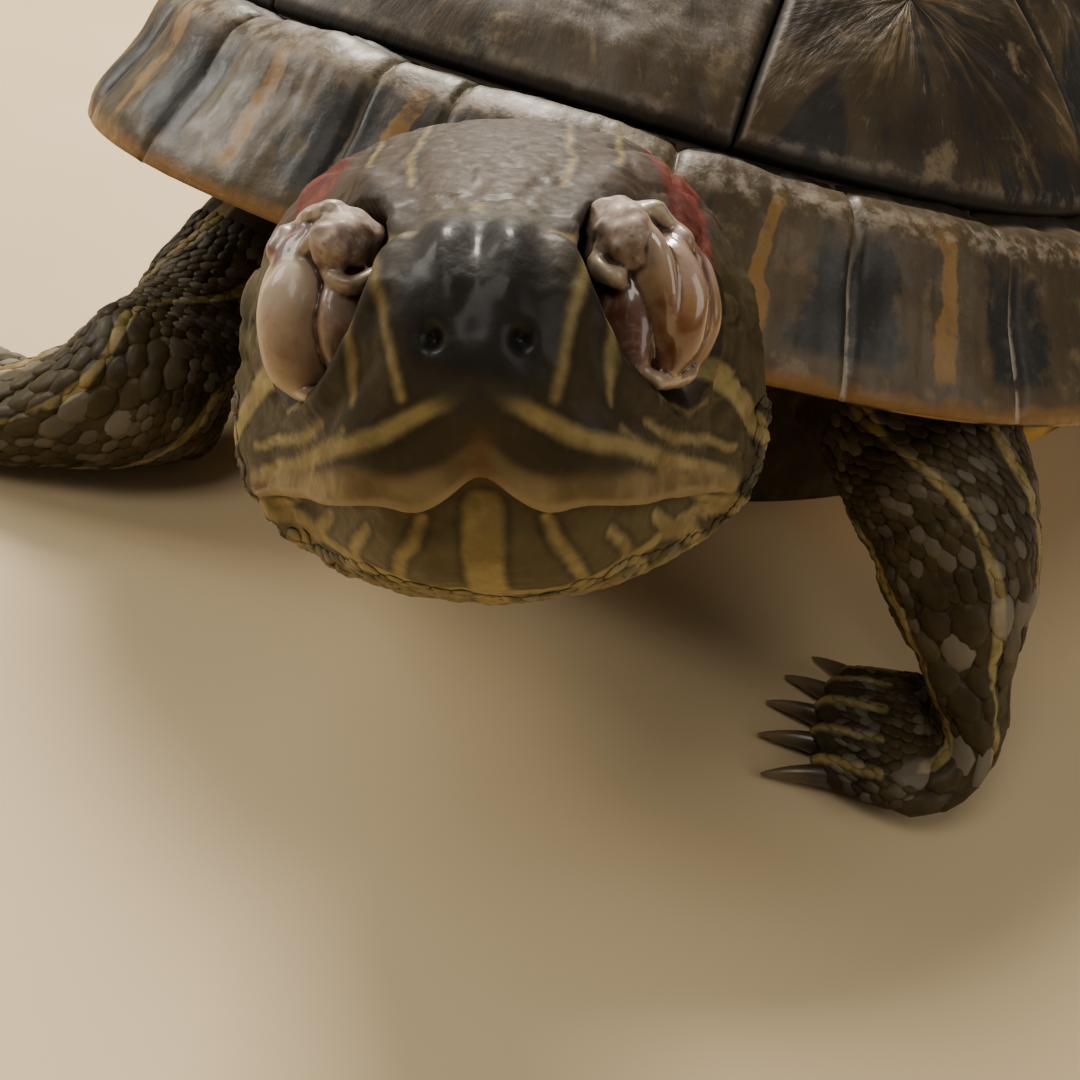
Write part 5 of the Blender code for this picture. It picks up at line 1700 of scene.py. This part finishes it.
def lidMaterial():
    paint = Paint("swollen lid flesh", Coat_Roughness=0.06, Specular_IOR_Level=0.55)
    cream, amber, red, gloss, scaly = (paint.mark(k) for k in lidMarks)
    rise, creaseShade = paint.mark("rise"), paint.mark("creaseShade")
    wave, fine = paint.noise(1.8, 3, 0.55), paint.noise(0.5, 4, 0.65)
    vein = paint.noise(1.1, 4, 0.6, warp=1.2)
    flesh = paint.mix(lidTones["flesh"], lidTones["fleshPale"], paint.step(wave, 0.35, 0.65))
    # the bulge's own amber, paler towards the top as a painted highlight, and browner low down on the
    # glossy parts
    low = paint.step(rise + (wave - 0.5) * 0.6, 0.12, -0.38)
    middle = paint.step(rise + (wave - 0.5) * 0.5, 0.45, 0.05)
    bulge = paint.mix(lidTones["bulge"], lidTones["amber"], middle)
    bulge = paint.mix(bulge, lidTones["brown"], low * gloss)
    bulge = paint.mix(bulge, lidTones["underside"], paint.step(rise, -0.80, -0.96))
    colour = paint.mix(flesh, bulge, amber)
    colour = paint.mix(colour, lidTones["cream"], cream * paint.step(wave, 0.2, 0.5) * 0.80)
    colour = paint.mix(colour, lidTones["red"], red * paint.step(vein, 0.25, 0.5) * 0.93)
    colour = paint.mix(colour, lidTones["scale"], scaly * paint.step(fine, 0.50, 0.70) * 0.6)
    colour = paint.mix(colour, lidTones["scaleGap"], scaly * paint.step(fine, 0.48, 0.32) * 0.65)
    colour = paint.mix(colour, lidTones["vein"], paint.step(vein, 0.58, 0.72) * (1 - cream) * 0.5)
    # painted shade in the creases between the lumps, and a painted highlight on the crests
    deep = paint.step(creaseShade + (wave - 0.5) * 0.02, 0.005, 0.055)
    colour = paint.mix(colour, lidTones["creaseShade"], deep * 0.95)
    colour = paint.mix(colour, lidTones["crestHighlight"], paint.step(creaseShade, -0.06, -0.15) * 0.25)
    paint.join(gloss, paint.shader.inputs["Coat Weight"])
    rough = 0.62 - gloss * 0.40 + paint.step(fine, 0.4, 0.7) * 0.1
    return paint.finish(colour, rough, (wave, 0.2, 0.2), (fine, 0.25, 0.06))


clawTones = {"root": (0.045, 0.030, 0.016), "tip": (0.16, 0.11, 0.055)}


def clawMaterial():
    paint = Paint("claw horn", Coat_Roughness=0.2, Specular_IOR_Level=0.5)
    along, wave = paint.mark("along"), paint.noise(1.6, 3, 0.6, stretch=(0.4, 0.4, 1))
    tip = paint.step(along + (wave - 0.5) * 0.5, 0.25, 0.9)
    colour = paint.mix(clawTones["root"], clawTones["tip"], tip)
    paint.join(0.3 + wave * 0.2, paint.shader.inputs["Coat Weight"])
    return paint.finish(colour, 0.32 + wave * 0.2, (wave, 0.4, 0.12))


headLoft, neckCount, headOwn = buildHeadAndNeck()
limbLofts, limbEnds = {}, {}
for limb in limbs:
    limbLofts[limb], limbEnds[limb] = buildLimb(limb)
tailLoft = buildTail()
print("flesh forms")
skin = joinSkin([buildTrunk(), headLoft, *limbLofts.values(), tailLoft], skinPaint("skin"))
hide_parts("head", "lower_jaw", "neck", "trunk", "tail", *limbs, *(limbs[k]["foot"] for k in limbs))
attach(skin, "root")
buildEyes(lidMaterial())
horn = clawMaterial()
for limb in limbs:
    buildClaws(limb, horn)
print("claws")


scaleFinish, plateFinish = skinPaint("skin scales", 0.30), skinPaint("forearm plates", 0.52)
scaling = {  # as shares of the limb's rows: start of the scales, start and end of the large plates;
    # then the way the plates face, the size of a plate and of a scale, and the seed
    "foreleg_left": (0.22, 0.40, 0.80, (0.55, -0.8, 0.25), 3.3, 1.6, 301),
    "foreleg_right": (0.22, 0.36, 0.82, (-0.25, -0.45, 0.85), 3.1, 1.6, 311),
    "hindleg_left": (0.26, 0.62, 0.84, (0.7, 0.1, 0.7), 2.8, 1.9, 321),
    "hindleg_right": (0.26, 0.62, 0.84, (-0.7, 0.1, 0.7), 2.8, 1.9, 331),
}
scaleHigh, plateHigh = 0.17, 0.13   # heights as shares of the size


def dressLimb(name):
    start, plateFrom, plateTo, aim, plateSize, scaleSize, seed = scaling[name]
    loft = limbLofts[name]
    rows = len(loft.rows)
    normals = gridNormals(loft.rows)
    share = np.linspace(0, 1, rows)[:, None]
    facing = normals @ unit(np.array(aim, float))
    front = (smooth(0.1, 0.5, facing) * smooth(plateFrom - 0.04, plateFrom + 0.04, share)
             * smooth(plateTo + 0.04, plateTo - 0.04, share))
    sole = smooth(-0.2, -0.7, normals[..., 2]) * smooth(0.78, 0.86, share)
    scaleField("plates_" + name, loft, int(plateFrom * rows), int(plateTo * rows), lambda r: plateSize,
               plateFinish, front, plateHigh, seed)
    scaleField("scales_" + name, loft, int(start * rows), rows - 8,
               lambda r: scaleSize * (1 - 0.25 * float(smooth(0.75, 0.95, r))),
               scaleFinish, (1 - front) * (1 - sole), scaleHigh, seed + 1)


def dressNeck():
    # neck, throat and the rear of the jaw, but not the crown
    neckPart = np.ones((neckCount, headLoft.rows.shape[1]))
    f = np.concatenate([neckPart * -12.0, headOwn[..., 1]])
    u = np.concatenate([neckPart * -5.0, headOwn[..., 2]])
    rearward = np.clip(smooth(8, 3, f) * smooth(1, -4, u) + smooth(-5, -9, f)
                       + smooth(-9.6, -11.0, u) * smooth(20, 15, f), 0, 1)
    rearward = rearward * (1 - 0.9 * smooth(-11, -5, f) * smooth(6, 9, u))
    scaleField("scales_neck", headLoft, 14, neckCount + 96,
               lambda r: 1.45 - 0.45 * float(smooth(0.25, 0.45, r)), scaleFinish, rearward, scaleHigh, 351)


for limb in limbs:
    dressLimb(limb)
scaleField("scales_tail", tailLoft, 22, 86, lambda r: 2.0 - 1.2 * r, scaleFinish, None, scaleHigh, 341)
dressNeck()
print("scales")
